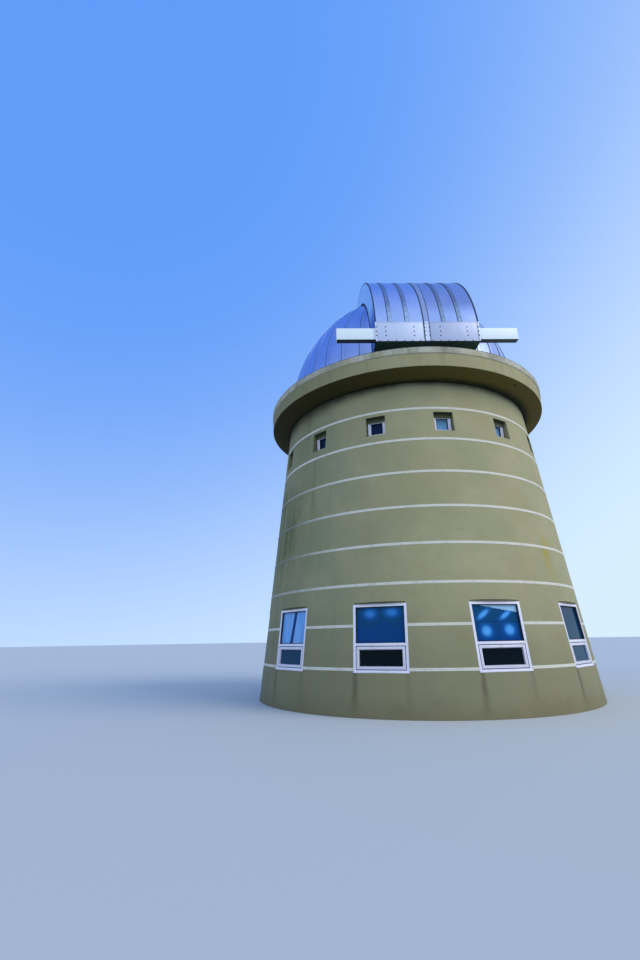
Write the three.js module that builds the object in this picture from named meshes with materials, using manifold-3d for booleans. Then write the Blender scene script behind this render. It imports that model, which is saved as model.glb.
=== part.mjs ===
// Observatory tower with a turning dome: a tapered round masonry tower, a
// projecting cornice, a sheet-metal dome and two sliding shutter halves.
// Millimetres, +Z up. The origin is the centre of the base on the ground.
// Azimuths are degrees from -Y, positive towards +X. At rest the slit faces -Y.
import * as THREE from 'three';
import { mergeVertices } from 'three/addons/utils/BufferGeometryUtils.js';
import Module from 'manifold-3d';

const wasm = await Module();
wasm.setup();

// Common
const GAP = 0.3;                    // between pieces that touch
const RING_SIDES = 72;              // facets of every full ring
const ARC_STEPS = 15;               // half the facets of an arc in an outline
const FAR = 20000;                  // well outside the object
const LAP = 1;                      // joined solids reach this far into each other

// Tower
const BASE_RADIUS = 4800;           // outer face at the ground
const BATTER = 0.1047;              // inward lean, mm per mm of height
const LOWER_WALL = 450;             // wall thickness under the observing floor
const UPPER_WALL = 400;             // wall thickness over the ledge
const LEDGE_Z = 5550;               // top of the lower wall, seat of the floor
const WALL_TOP = 8250;              // seat of the cornice
const GROUND_SLAB = 150;
const FLOOR_SLAB = 200;
const CUTTER_DEPTH = 1300;          // window cutters, well through either wall

// Large windows: ten, evenly spaced but for one wider pier at the back
const LARGE_COUNT = 10;
const LARGE_STEP = 33.3;
const LARGE_FIRST = -155.6;         // azimuth of the first one
const LARGE_WIDTH = 1260;
const LARGE_SILL = 888;
const LARGE_HEAD = 2373;
const FRAME_BAR = 60;
const FRAME_DEPTH = 100;
const PANE_THICKNESS = 24;
const PANE_SETBACK = 55;            // behind the frame's face
const TRANSOM_FROM_SILL = 598;      // centre line of the transom
const SASH_BAR = 56;
const SASH_JOINT = 10;              // open joint between the sash and the frame

// Small windows: fourteen, deep in the wall
const SMALL_COUNT = 14;
const SMALL_STEP = 360 / SMALL_COUNT;
const SMALL_FIRST = 3.9;
const SMALL_WIDTH = 530;
const SMALL_SILL = 6744;
const SMALL_HEAD = 7308;
const GLASS_BAND = 30;              // glazing that closes the small windows
const GLASS_LAP = 60;               // over the sill and the head
const SMALL_SETBACK = 140;          // window units behind the wall's face

// Cornice and coping
const CORNICE_RADIUS = 4530;
const CORNICE_EDGE_Z = 8410;        // lower edge of its face, above the wall's top
const COPING_RADIUS = 4550;
const COPING_Z = 8790;
const COPING_TOP = 8990;
const RIM_INNER = 3520;

// Track and dome
const TRACK_INNER = 3600;
const TRACK_OUTER = 3700;
const TRACK_HEIGHT = 60;
const DOME_RADIUS = 3840;
const DOME_CENTRE_Z = 9360;
const SHELL = 60;                   // sheet, ribs and lining together
const DOME_SIDES = 48;
const DOME_RINGS = 12;
const SKIRT_CLEARANCE = 8;
const SKIRT = 50;
const RING_FLANGE = 60;
const RING_INNER = 3580;

// Slit
const SLIT_HALF = 1000;
const COAMING = 50;
const COAMING_INNER = 3560;         // about the dome's centre
const SLIT_END = 17.5;              // degrees past the zenith
const HEAD_WIDTH = 2;               // degrees of arc taken by the slit's head
const HEAD_INNER = 3720;            // about the dome's centre

// Shutters: a barrel whose centre lies in front of the dome's
const BARREL_Y = -300;
const BARREL_Z = 9317;
const BARREL_RADIUS = 4080;
const BARREL_SIDES = 72;            // facets of a full circle
const SKIN = 30;
const SHUTTER_HALF = 1443;          // outer edge of each half when closed
const MEETING_GAP = 2.5;            // each half's edge from the middle
const PLATE_FRONT = -4338;
const PLATE = 20;
const PLATE_BOTTOM = 9300;
const PLATE_TOP = 9918;
const CHEEK = 30;
const CHEEK_CLEARANCE = 12;         // from the dome's surface
const PANEL_STEPS = 8;              // facets of the bottom panel's curved edge
const STRIP_LEFT = -100;
const STRIP_RIGHT = 50;
const STRIP = 14;
const STRIP_CLEARANCE = 6;          // from the right half it covers
const COAMING_CLEARANCE = 45;       // under the skin

// Rails
const RAIL_HALF = 2514;
const RAIL_BOTTOM = 9368;
const RAIL_TOP = 9735;
const RAIL_FRONT = -4305;
const RAIL_DEPTH = 184;
const RAIL_CLEARANCE = 15;
const REAR_RAIL_ANGLE = 21.2;       // degrees past the zenith
const REAR_RAIL_INNER = 3852;
const CARRIAGE = 60;
const CARRIAGE_INSET = 60;          // front carriage's inner end from the middle
const BRACKET_X = 1150;
const BRACKET_WIDTH = 120;
const BRACKET_DEPTH = 240;
const BRACKET_FOOT = 3600;          // inside the dome, before the foot is cut to it

const rad = THREE.MathUtils.degToRad;
const wallRadius = z => BASE_RADIUS - BATTER * z;

// Materials
const paint = (color, roughness, metalness = 0) =>
  new THREE.MeshStandardMaterial({ color, roughness, metalness });
const stucco = paint(0x9c8f55, 0.9);
const concrete = paint(0x9d9b8e, 0.95);
const trowelled = paint(0x8f8c84, 0.9);
const glass = paint(0x23384f, 0.1);
const steel = paint(0x5c6066, 0.5, 0.8);
const domeMetal = paint(0x8f9fc8, 0.35, 0.9);
const plateMetal = paint(0xb4bad0, 0.4, 0.9);
const beamPaint = paint(0xe8ecef, 0.5);
const darkMetal = paint(0x3a3f42, 0.6, 0.5);

// Solids: closed three.js geometries that are cut and joined
function solid(geometry) {
  const bare = geometry.clone();
  bare.deleteAttribute('normal');
  bare.deleteAttribute('uv');
  const merged = mergeVertices(bare, 1e-3);
  const kept = [];
  const index = merged.index.array;
  for (let i = 0; i < index.length; i += 3) {
    const [a, b, c] = [index[i], index[i + 1], index[i + 2]];
    if (a !== b && b !== c && c !== a) kept.push(a, b, c);
  }
  return new wasm.Manifold(new wasm.Mesh({
    numProp: 3,
    vertProperties: new Float32Array(merged.attributes.position.array),
    triVerts: new Uint32Array(kept),
  }));
}

function geometryOf(body) {
  const mesh = body.getMesh();
  const geometry = new THREE.BufferGeometry();
  geometry.setAttribute('position', new THREE.BufferAttribute(new Float32Array(mesh.vertProperties), 3));
  geometry.setIndex(new THREE.BufferAttribute(new Uint32Array(mesh.triVerts), 1));
  geometry.computeVertexNormals();
  return geometry;
}

// A closed profile of [radius, z] points, counter-clockwise, turned about Z
function turned(profile, sides = RING_SIDES) {
  const points = [...profile, profile[0]].map(([r, z]) => new THREE.Vector2(r, z));
  return solid(new THREE.LatheGeometry(points, sides).rotateX(Math.PI / 2));
}

// A box between two corners
function block([x0, y0, z0], [x1, y1, z1]) {
  const box = new THREE.BoxGeometry(x1 - x0, y1 - y0, z1 - z0);
  return solid(box.translate((x0 + x1) / 2, (y0 + y1) / 2, (z0 + z1) / 2));
}

// A THREE.Shape drawn in (y, z), carried along X from x0 to x1
function alongX(shape, x0, x1) {
  const depth = x1 - x0;
  const geometry = new THREE.ExtrudeGeometry(shape, { depth, bevelEnabled: false, curveSegments: ARC_STEPS });
  const axes = new THREE.Matrix4().makeBasis(
    new THREE.Vector3(0, 1, 0), new THREE.Vector3(0, 0, 1), new THREE.Vector3(1, 0, 0));
  return solid(geometry.applyMatrix4(axes).translate(x0, 0, 0));
}

// A THREE.Shape drawn in (x, y), carried up Z from z0 to z1
function upZ(shape, z0, z1) {
  const geometry = new THREE.ExtrudeGeometry(shape, { depth: z1 - z0, bevelEnabled: false });
  return solid(geometry.translate(0, 0, z0));
}

function polygon(points) {
  return new THREE.Shape(points.map(([a, b]) => new THREE.Vector2(a, b)));
}

// The wedge of space between two azimuths less than 180 degrees apart, shrunk
// by half a gap on each side
function wedge(from, to) {
  const middle = rad((from + to) / 2);
  const half = rad((to - from) / 2);
  const shift = GAP / 2 / Math.sin(half);
  const apex = [shift * Math.sin(middle), -shift * Math.cos(middle)];
  const rim = [from, (from + to) / 2, to].map(azimuth => [
    apex[0] + FAR * Math.sin(rad(azimuth)), apex[1] - FAR * Math.cos(rad(azimuth))]);
  return upZ(polygon([apex, ...rim]), -FAR, FAR);
}

const root = new THREE.Group();
function add(name, body, material, group = root) {
  const mesh = new THREE.Mesh(geometryOf(body), material);
  mesh.name = name;
  group.add(mesh);
  return mesh;
}

// Slabs. The observing floor bears on the ledge of the lower wall.
const lowerInner = z => wallRadius(z) - LOWER_WALL;
const upperInner = z => wallRadius(z) - UPPER_WALL;
function slab(z0, z1, inner) {
  return turned([[0, z0], [inner(z0) - GAP, z0], [inner(z1) - GAP, z1], [0, z1]]);
}
add('ground_floor_slab', slab(0, GROUND_SLAB, lowerInner), trowelled);
add('observing_floor', slab(LEDGE_Z + GAP, LEDGE_Z + FLOOR_SLAB, upperInner), trowelled);

// A point on the wall's outer face turned to an azimuth, and leaned with the
// batter or upright: local +X runs along the wall, -Y out of it, +Z up it
const LEANING = -Math.atan(BATTER);
const UPRIGHT = 0;
function wallPlace(azimuth, z, lean) {
  const place = new THREE.Group();
  const distance = wallRadius(z);
  place.rotation.set(lean, 0, rad(azimuth), 'ZXY');
  place.position.set(distance * Math.sin(rad(azimuth)), -distance * Math.cos(rad(azimuth)), z);
  place.updateMatrixWorld(true);
  return place;
}

function hole(azimuth, sill, head, width, lean) {
  const place = wallPlace(azimuth, (sill + head) / 2, lean);
  const cutter = new THREE.BoxGeometry(width, CUTTER_DEPTH, head - sill);
  return solid(cutter.applyMatrix4(place.matrixWorld));
}

const azimuths = (first, step, count) => Array.from({ length: count }, (_, i) => first + i * step);
const largeAzimuths = azimuths(LARGE_FIRST, LARGE_STEP, LARGE_COUNT);
const smallAzimuths = azimuths(SMALL_FIRST, SMALL_STEP, SMALL_COUNT);

function wallRing(z0, z1, inner) {
  return turned([[inner(z0), z0], [wallRadius(z0), z0], [wallRadius(z1), z1], [inner(z1), z1]]);
}

// Lower wall: five segments with two large windows each
const lowerRing = wallRing(0, LEDGE_Z, lowerInner);
const backPier = LARGE_FIRST - (360 - (LARGE_COUNT - 1) * LARGE_STEP) / 2;
for (let i = 0; i < LARGE_COUNT / 2; i++) {
  const [first, second] = [largeAzimuths[2 * i], largeAzimuths[2 * i + 1]];
  const from = i === 0 ? backPier : first - LARGE_STEP / 2;
  const to = i === LARGE_COUNT / 2 - 1 ? backPier + 360 : second + LARGE_STEP / 2;
  let segment = lowerRing.intersect(wedge(from, to));
  for (const azimuth of [first, second]) {
    segment = segment.subtract(hole(azimuth, LARGE_SILL, LARGE_HEAD, LARGE_WIDTH, LEANING));
  }
  add(`lower_wall_${i + 1}`, segment, stucco);
}

// Upper wall: seven segments with two small windows each
const upperRing = wallRing(LEDGE_Z + GAP, WALL_TOP - GAP, upperInner);
for (let i = 0; i < SMALL_COUNT / 2; i++) {
  const [first, second] = [smallAzimuths[2 * i], smallAzimuths[2 * i + 1]];
  let segment = upperRing.intersect(wedge(first - SMALL_STEP / 2, second + SMALL_STEP / 2));
  for (const azimuth of [first, second]) {
    segment = segment.subtract(hole(azimuth, SMALL_SILL, SMALL_HEAD, SMALL_WIDTH, UPRIGHT));
  }
  add(`upper_wall_${i + 1}`, segment, stucco);
}

// Large windows: a flat frame whose corners are flush with the curved wall, a
// fixed pane over the transom and an opening light under it, its sash flush
// with the frame
const largeHeight = LARGE_HEAD - LARGE_SILL;
const largeMiddle = (LARGE_SILL + LARGE_HEAD) / 2;
const largeSetback = wallRadius(largeMiddle)
  - Math.sqrt(wallRadius(largeMiddle) ** 2 - (LARGE_WIDTH / 2) ** 2);
function largeWindow() {
  const halfWidth = LARGE_WIDTH / 2 - GAP;
  const halfHeight = largeHeight / 2 - GAP;
  const transom = -largeHeight / 2 + TRANSOM_FROM_SILL;
  const inside = halfWidth - FRAME_BAR;
  const outer = block([-halfWidth, 0, -halfHeight], [halfWidth, FRAME_DEPTH, halfHeight]);
  const upperLight = block([-inside, -LAP, transom + FRAME_BAR / 2],
    [inside, FRAME_DEPTH + LAP, halfHeight - FRAME_BAR]);
  const lowerLight = block([-inside, -LAP, -halfHeight + FRAME_BAR],
    [inside, FRAME_DEPTH + LAP, transom - FRAME_BAR / 2]);
  const pane = block([-inside - LAP, PANE_SETBACK, -halfHeight + FRAME_BAR - LAP],
    [inside + LAP, PANE_SETBACK + PANE_THICKNESS, halfHeight - FRAME_BAR + LAP]);
  const sashLow = -halfHeight + FRAME_BAR + SASH_JOINT;
  const sashHigh = transom - FRAME_BAR / 2 - SASH_JOINT;
  const sashHalf = inside - SASH_JOINT;
  const sash = block([-sashHalf, 0, sashLow], [sashHalf, PANE_SETBACK + LAP, sashHigh])
    .subtract(block([-sashHalf + SASH_BAR, -FAR, sashLow + SASH_BAR],
      [sashHalf - SASH_BAR, FAR, sashHigh - SASH_BAR]));
  return outer.subtract(upperLight).subtract(lowerLight).add(pane).add(sash);
}
const largeWindowBody = largeWindow();
largeAzimuths.forEach((azimuth, i) => {
  const place = wallPlace(azimuth, largeMiddle, LEANING);
  root.add(place);
  add(`large_window_${i + 1}`, largeWindowBody, glass, place).position.y = largeSetback;
});

// Small windows: a window unit in each hole, all joined by one band of glazing
// on the wall's inner face
const glassLow = SMALL_SILL - GLASS_LAP;
const glassHigh = SMALL_HEAD + GLASS_LAP;
function glassRing(inner, outer) {
  return turned([[inner(glassLow), glassLow], [outer(glassLow), glassLow],
    [outer(glassHigh), glassHigh], [inner(glassHigh), glassHigh]]);
}
let units = glassRing(z => upperInner(z) - GLASS_BAND - LAP, z => upperInner(z) - GAP);
for (const azimuth of smallAzimuths) {
  const place = wallPlace(azimuth, (SMALL_SILL + SMALL_HEAD) / 2, UPRIGHT);
  const unit = new THREE.BoxGeometry(SMALL_WIDTH - 2 * GAP, CUTTER_DEPTH, SMALL_HEAD - SMALL_SILL - 2 * GAP)
    .translate(0, SMALL_SETBACK + CUTTER_DEPTH / 2, 0);
  units = units.add(solid(unit.applyMatrix4(place.matrixWorld)));
}
add('small_window_glass', units.intersect(glassRing(z => upperInner(z) - GLASS_BAND, wallRadius)), glass);

// Cornice, coping and track. The cornice's soffit rises outwards from the wall.
const rim = (inner, outer, z0, z1) => turned([[inner, z0], [outer, z0], [outer, z1], [inner, z1]]);
add('cornice', turned([
  [RIM_INNER, WALL_TOP], [wallRadius(WALL_TOP), WALL_TOP], [CORNICE_RADIUS, CORNICE_EDGE_Z],
  [CORNICE_RADIUS, COPING_Z - GAP], [RIM_INNER, COPING_Z - GAP],
]), stucco);
add('coping', rim(RIM_INNER, COPING_RADIUS, COPING_Z, COPING_TOP), concrete);
const trackTop = COPING_TOP + TRACK_HEIGHT;
add('dome_track', rim(TRACK_INNER, TRACK_OUTER, COPING_TOP + GAP, trackTop), steel);

// Dome ring: a flange that runs on the track and a skirt that hides it
const ringTop = DOME_CENTRE_Z - GAP;
const skirtLow = COPING_TOP + SKIRT_CLEARANCE;
add('dome_ring', turned([
  [RING_INNER, trackTop + GAP], [DOME_RADIUS - SKIRT, trackTop + GAP],
  [DOME_RADIUS - SKIRT, skirtLow], [DOME_RADIUS, skirtLow],
  [DOME_RADIUS, ringTop], [DOME_RADIUS - SHELL, ringTop],
  [DOME_RADIUS - SHELL, trackTop + RING_FLANGE], [RING_INNER, trackTop + RING_FLANGE],
]), domeMetal);

// Dome shell: a hollow half ball, cut into four quarters beside the slit and
// a strip behind it
function quarterArc(radius, start, end, count) {
  return Array.from({ length: count + 1 }, (_, i) => {
    const angle = rad(start + (end - start) * i / count);
    return [radius * Math.cos(angle), DOME_CENTRE_Z + radius * Math.sin(angle)];
  });
}
function halfBall(radius) {
  const arc = quarterArc(radius, 0, 90, DOME_RINGS);
  arc[DOME_RINGS][0] = 0;
  return turned([[0, DOME_CENTRE_Z], ...arc], DOME_SIDES);
}
const ballCutter = halfBall(DOME_RADIUS - SHELL)
  .add(turned([[0, 0], [DOME_RADIUS - SHELL, 0], [DOME_RADIUS - SHELL, DOME_CENTRE_Z],
    [0, DOME_CENTRE_Z]], DOME_SIDES));
const shell = halfBall(DOME_RADIUS).subtract(ballCutter);

// The space in front of a radial plane some degrees past the zenith
function beforePlane(angle, offset) {
  const [sin, cos] = [Math.sin(rad(angle)), Math.cos(rad(angle))];
  const [y0, z0] = [offset * cos, DOME_CENTRE_Z - offset * sin];
  return polygon([[y0 - FAR * sin, z0 - FAR * cos], [y0 + FAR * sin, z0 + FAR * cos],
    [y0 + FAR * sin - FAR * cos, z0 + FAR * cos + FAR * sin],
    [y0 - FAR * sin - FAR * cos, z0 - FAR * cos + FAR * sin]]);
}
const slitEdge = SLIT_HALF + COAMING;
for (const [side, sign] of [['left', -1], ['right', 1]]) {
  for (const [end, ySign] of [['front', -1], ['rear', 1]]) {
    const xs = [sign * (slitEdge + GAP), sign * FAR].sort((a, b) => a - b);
    const ys = [ySign * GAP / 2, ySign * FAR].sort((a, b) => a - b);
    add(`dome_shell_${side}_${end}`,
      shell.intersect(block([xs[0], ys[0], 0], [xs[1], ys[1], FAR])), domeMetal);
  }
}
add('dome_shell_back', shell
  .intersect(block([-slitEdge, 0, 0], [slitEdge, FAR, FAR]))
  .subtract(alongX(beforePlane(SLIT_END, GAP / 2), -FAR, FAR)), domeMetal);

// Slit frames: upright plates along both edges of the slit. Their outer edge
// follows the shutters' barrel and their front edge carries the front rail.
const coamingRadius = BARREL_RADIUS - SKIN - COAMING_CLEARANCE;
const railBack = RAIL_FRONT + RAIL_DEPTH;
function coamingShape() {
  const front = railBack + GAP;
  const shape = new THREE.Shape();
  const startAngle = Math.acos((front - BARREL_Y) / coamingRadius);
  shape.moveTo(-COAMING_INNER, DOME_CENTRE_Z);
  shape.lineTo(front, DOME_CENTRE_Z);
  shape.lineTo(front, BARREL_Z + coamingRadius * Math.sin(startAngle));
  shape.absarc(BARREL_Y, BARREL_Z, coamingRadius, startAngle, 0, true);
  shape.lineTo(COAMING_INNER, DOME_CENTRE_Z);
  shape.absarc(0, DOME_CENTRE_Z, COAMING_INNER, 0, Math.PI, false);
  return shape;
}
const coamingKeep = alongX(beforePlane(SLIT_END, -GAP / 2), -FAR, FAR);
for (const [side, x0] of [['left', -slitEdge], ['right', SLIT_HALF]]) {
  add(`slit_frame_${side}`,
    alongX(coamingShape(), x0, x0 + COAMING).intersect(coamingKeep), domeMetal);
}

// Slit head: the curb across the slit's rear end
function disc(y, z, radius) {
  return polygon(Array.from({ length: BARREL_SIDES }, (_, i) => {
    const angle = 2 * Math.PI * i / BARREL_SIDES;
    return [y + radius * Math.cos(angle), z + radius * Math.sin(angle)];
  }));
}
const headHalf = SLIT_HALF - GAP;
const slitHead = alongX(disc(BARREL_Y, BARREL_Z, coamingRadius), -headHalf, headHalf)
  .subtract(alongX(disc(0, DOME_CENTRE_Z, HEAD_INNER), -FAR, FAR))
  .intersect(coamingKeep)
  .intersect(block([-FAR, 0, DOME_CENTRE_Z], [FAR, FAR, FAR]))
  .subtract(alongX(beforePlane(SLIT_END - HEAD_WIDTH, 0), -FAR, FAR));
add('slit_head', slitHead, domeMetal);

// Rails. The front one stands on edge against the slit frames. The rear one
// lies flat on two brackets, in a frame whose +Z is the dome's radius there.
add('front_rail', block([-RAIL_HALF, RAIL_FRONT, RAIL_BOTTOM], [RAIL_HALF, railBack, RAIL_TOP]), beamPaint);
const rearPlace = new THREE.Matrix4().makeTranslation(0, 0, DOME_CENTRE_Z)
  .multiply(new THREE.Matrix4().makeRotationX(-rad(REAR_RAIL_ANGLE)));
const inRear = geometry => solid(geometry.applyMatrix4(rearPlace));
function rearBlock([x0, y0, z0], [x1, y1, z1]) {
  const box = new THREE.BoxGeometry(x1 - x0, y1 - y0, z1 - z0);
  return inRear(box.translate((x0 + x1) / 2, (y0 + y1) / 2, (z0 + z1) / 2));
}
const rearRailHalfWidth = (RAIL_TOP - RAIL_BOTTOM) / 2;
const rearRailTop = REAR_RAIL_INNER + RAIL_DEPTH;
add('rear_rail', rearBlock([-RAIL_HALF, -rearRailHalfWidth, REAR_RAIL_INNER],
  [RAIL_HALF, rearRailHalfWidth, rearRailTop]), beamPaint);
const ballFit = halfBall(DOME_RADIUS + GAP);
for (const [side, sign] of [['left', -1], ['right', 1]]) {
  const x = sign * BRACKET_X;
  const post = rearBlock([x - BRACKET_WIDTH / 2, -BRACKET_DEPTH / 2, BRACKET_FOOT],
    [x + BRACKET_WIDTH / 2, BRACKET_DEPTH / 2, REAR_RAIL_INNER - GAP]);
  add(`rear_rail_bracket_${side}`, post.subtract(ballFit), steel);
}

// Shutter halves. Each slides out along the rails on its own carriages.
const rearWeb = -(rearRailHalfWidth + RAIL_CLEARANCE + PLATE);   // web's front face
const aheadOfWeb = rearBlock([-FAR, -FAR, -FAR], [FAR, rearWeb - GAP, FAR]);
const aboveSill = z => block([-FAR, -FAR, z], [FAR, FAR, FAR]);
const plateBack = PLATE_FRONT + PLATE;

// Part of the barrel between two radii counted from its outer face
function barrel(x0, x1, inner, outer) {
  return alongX(disc(BARREL_Y, BARREL_Z, BARREL_RADIUS + outer), x0, x1)
    .subtract(alongX(disc(BARREL_Y, BARREL_Z, BARREL_RADIUS + inner), -FAR, FAR))
    .intersect(aheadOfWeb);
}

function skin(x0, x1) {
  return barrel(x0, x1, -SKIN, 0).intersect(aboveSill(PLATE_TOP + GAP));
}

// Outer cheek: follows the dome inside and the skin outside, open round the rail
function cheek(x0, x1) {
  const domeInside = Math.sqrt(DOME_RADIUS ** 2 - (SHUTTER_HALF - CHEEK) ** 2) + CHEEK_CLEARANCE;
  const outer = alongX(disc(BARREL_Y, BARREL_Z, BARREL_RADIUS - SKIN - GAP), x0, x1);
  const dome = alongX(disc(0, DOME_CENTRE_Z, domeInside), -FAR, FAR)
    .add(block([-FAR, -domeInside, 0], [FAR, domeInside, DOME_CENTRE_Z]));
  const notch = block([-FAR, -FAR, 0], [FAR, railBack + RAIL_CLEARANCE, RAIL_TOP + RAIL_CLEARANCE]);
  const keep = block([-FAR, plateBack + GAP, PLATE_BOTTOM + PLATE + GAP], [FAR, FAR, FAR]);
  return outer.subtract(dome).subtract(notch).intersect(keep).intersect(aheadOfWeb);
}

// Bottom panel: flat, its rear edge curved round the dome ring
function bottomPanel(sign) {
  const clear = DOME_RADIUS + CHEEK_CLEARANCE;
  const [near, far] = [MEETING_GAP, SHUTTER_HALF];
  const edge = Array.from({ length: PANEL_STEPS + 1 }, (_, i) => {
    const x = far + (near - far) * i / PANEL_STEPS;
    return [sign * x, -Math.sqrt(clear ** 2 - x ** 2)];
  });
  const outline = [[sign * near, plateBack + GAP], [sign * far, plateBack + GAP], ...edge];
  if (sign < 0) outline.reverse();
  return upZ(polygon(outline), PLATE_BOTTOM, PLATE_BOTTOM + PLATE);
}

for (const [side, sign] of [['left', -1], ['right', 1]]) {
  const span = (near, far) => [sign * near, sign * far].sort((a, b) => a - b);
  const [x0, x1] = span(MEETING_GAP, SHUTTER_HALF);
  const [c0, c1] = span(SHUTTER_HALF - CHEEK, SHUTTER_HALF);
  const [r0, r1] = span(CARRIAGE_INSET, SHUTTER_HALF - CHEEK - GAP);
  add(`shutter_${side}_skin`, skin(x0, x1), domeMetal);
  add(`shutter_${side}_cheek`, cheek(c0, c1), domeMetal);
  add(`shutter_${side}_front_plate`, block([x0, PLATE_FRONT, PLATE_BOTTOM], [x1, plateBack, PLATE_TOP]), plateMetal);
  add(`shutter_${side}_bottom_panel`, bottomPanel(sign), darkMetal);
  add(`shutter_${side}_front_carriage`, block([r0, plateBack + GAP, RAIL_TOP + GAP],
    [r1, railBack - RAIL_CLEARANCE, RAIL_TOP + CARRIAGE]), steel);
  const web = rearBlock([x0, rearWeb, REAR_RAIL_INNER], [x1, rearWeb + PLATE, rearRailTop + CARRIAGE]);
  const hook = rearBlock([x0, rearWeb, rearRailTop + GAP],
    [x1, rearRailHalfWidth - RAIL_CLEARANCE, rearRailTop + CARRIAGE]);
  add(`shutter_${side}_rear_carriage`, web.add(hook), darkMetal);
}

// Cover strip over the meeting of the halves, fixed to the left one, and its
// thin lip, which laps over the right one
function stripLayer(x0, x1, inner, outer) {
  const arc = barrel(x0, x1, inner, outer).intersect(aboveSill(PLATE_TOP));
  const drop = block([x0, PLATE_FRONT - outer, PLATE_BOTTOM], [x1, PLATE_FRONT - inner, PLATE_TOP + LAP]);
  return arc.add(drop);
}
add('shutter_left_cover_strip', stripLayer(STRIP_LEFT, -MEETING_GAP, GAP, STRIP), plateMetal);
add('shutter_left_cover_lip', stripLayer(GAP - MEETING_GAP, STRIP_RIGHT, STRIP_CLEARANCE, STRIP), plateMetal);

export default root;
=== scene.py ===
"""Observatory tower with a turning dome: the looks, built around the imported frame.

Metres, +Z up, the origin at the centre of the base. Azimuths are degrees from
-Y, positive towards +X. At rest the slit and its shutters face -Y. A colour of
three numbers is in screen values from 0 to 255.
"""
import math

import bmesh
import bpy
from mathutils import Matrix, Vector


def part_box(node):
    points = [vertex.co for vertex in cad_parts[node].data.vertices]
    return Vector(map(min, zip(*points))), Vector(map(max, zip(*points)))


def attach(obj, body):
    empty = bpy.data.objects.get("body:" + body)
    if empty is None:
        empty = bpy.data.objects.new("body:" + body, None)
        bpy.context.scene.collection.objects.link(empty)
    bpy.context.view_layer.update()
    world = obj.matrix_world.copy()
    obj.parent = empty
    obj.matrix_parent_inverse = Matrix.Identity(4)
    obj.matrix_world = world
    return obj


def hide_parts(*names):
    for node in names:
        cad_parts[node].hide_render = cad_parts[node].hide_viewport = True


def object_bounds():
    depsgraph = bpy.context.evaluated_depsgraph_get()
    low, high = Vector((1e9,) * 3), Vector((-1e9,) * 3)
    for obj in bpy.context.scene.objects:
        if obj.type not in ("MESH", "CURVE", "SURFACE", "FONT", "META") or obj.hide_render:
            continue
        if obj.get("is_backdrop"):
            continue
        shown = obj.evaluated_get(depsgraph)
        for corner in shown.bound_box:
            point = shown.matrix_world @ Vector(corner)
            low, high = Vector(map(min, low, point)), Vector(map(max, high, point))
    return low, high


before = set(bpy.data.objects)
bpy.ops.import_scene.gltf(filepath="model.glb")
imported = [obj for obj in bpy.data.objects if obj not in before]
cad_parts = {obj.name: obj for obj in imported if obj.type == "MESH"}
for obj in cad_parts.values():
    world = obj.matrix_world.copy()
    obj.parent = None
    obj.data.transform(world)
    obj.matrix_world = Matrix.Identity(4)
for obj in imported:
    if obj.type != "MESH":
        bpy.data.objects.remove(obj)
cad_low, cad_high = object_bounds()

# Camera at eye level, some 11 m in front of the tower's face, with a wide lens
# tipped up at the dome.
EYE = Vector((-3.2875, -15.4665, 1.605))
HEADING = math.radians(-1.315)
TILT = math.radians(18.451)
ROLL = math.radians(-0.948)

lens = bpy.data.cameras.new("camera")
lens.lens = 17.93
lens.sensor_width = 36
camera = bpy.data.objects.new("camera", lens)
camera.matrix_world = (
    Matrix.Translation(EYE)
    @ Matrix.Rotation(HEADING, 4, "Z")
    @ Matrix.Rotation(math.pi / 2 + TILT, 4, "X")
    @ Matrix.Rotation(ROLL, 4, "Z"))
bpy.context.scene.collection.objects.link(camera)
bpy.context.scene.camera = camera


# Stage: a wide pale floor under a soft dome of light, pale at its foot and bluer
# towards the back left, and one broad warm key light from the front right.
def colour(red, green, blue):
    """A linear colour from its screen values."""
    def linear(part):
        share = part / 255
        return share / 12.92 if share <= 0.04045 else ((share + 0.055) / 1.055) ** 2.4
    return (linear(red), linear(green), linear(blue), 1)


class Value:
    """A shader socket. Sums, products and comparisons with it add Math nodes."""

    def __init__(self, finish, socket):
        self.finish = finish
        self.socket = socket

    def operation(name, swapped=False):
        def applied(self, other=0):
            first, second = (other, self) if swapped else (self, other)
            return self.finish.node("Math", {"operation": name}, {0: first, 1: second})
        return applied

    __add__ = __radd__ = operation("ADD")
    __mul__ = __rmul__ = operation("MULTIPLY")
    __sub__ = operation("SUBTRACT")
    __rsub__ = operation("SUBTRACT", swapped=True)
    __truediv__ = operation("DIVIDE")
    __pow__ = operation("POWER")
    __abs__ = operation("ABSOLUTE")
    __lt__ = operation("LESS_THAN")
    __gt__ = operation("GREATER_THAN")
    __or__ = operation("MAXIMUM")
    __and__ = operation("MINIMUM")
    angle_from = operation("ARCTAN2")
    rounded = operation("ROUND")
    floored = operation("FLOOR")
    fraction = operation("FRACT")

    def parts(self):
        made = self.finish.node("SeparateXYZ", inputs={0: self}).socket.node
        return [Value(self.finish, output) for output in made.outputs]

    def noise(self, scale, detail=2.0, roughness=0.5):
        return self.finish.node("TexNoise", inputs={
            "Vector": self, "Scale": scale, "Detail": detail, "Roughness": roughness})

    def cells(self, scale):
        """Distance to the middle of the nearest of many scattered cells."""
        return self.finish.node("TexVoronoi", inputs={"Vector": self, "Scale": scale})

    def between(self, low, high):
        """0 below low, 1 above high and smooth in between."""
        return self.finish.node("MapRange", {"interpolation_type": "SMOOTHSTEP"}, {
            "Value": self, "From Min": low, "From Max": high})

    def mixed(self, first, second):
        """The first colour at 0, the second at 1."""
        return self.finish.node("Mix", {"data_type": "RGBA"}, {0: self, 6: first, 7: second}, output=2)


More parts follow.
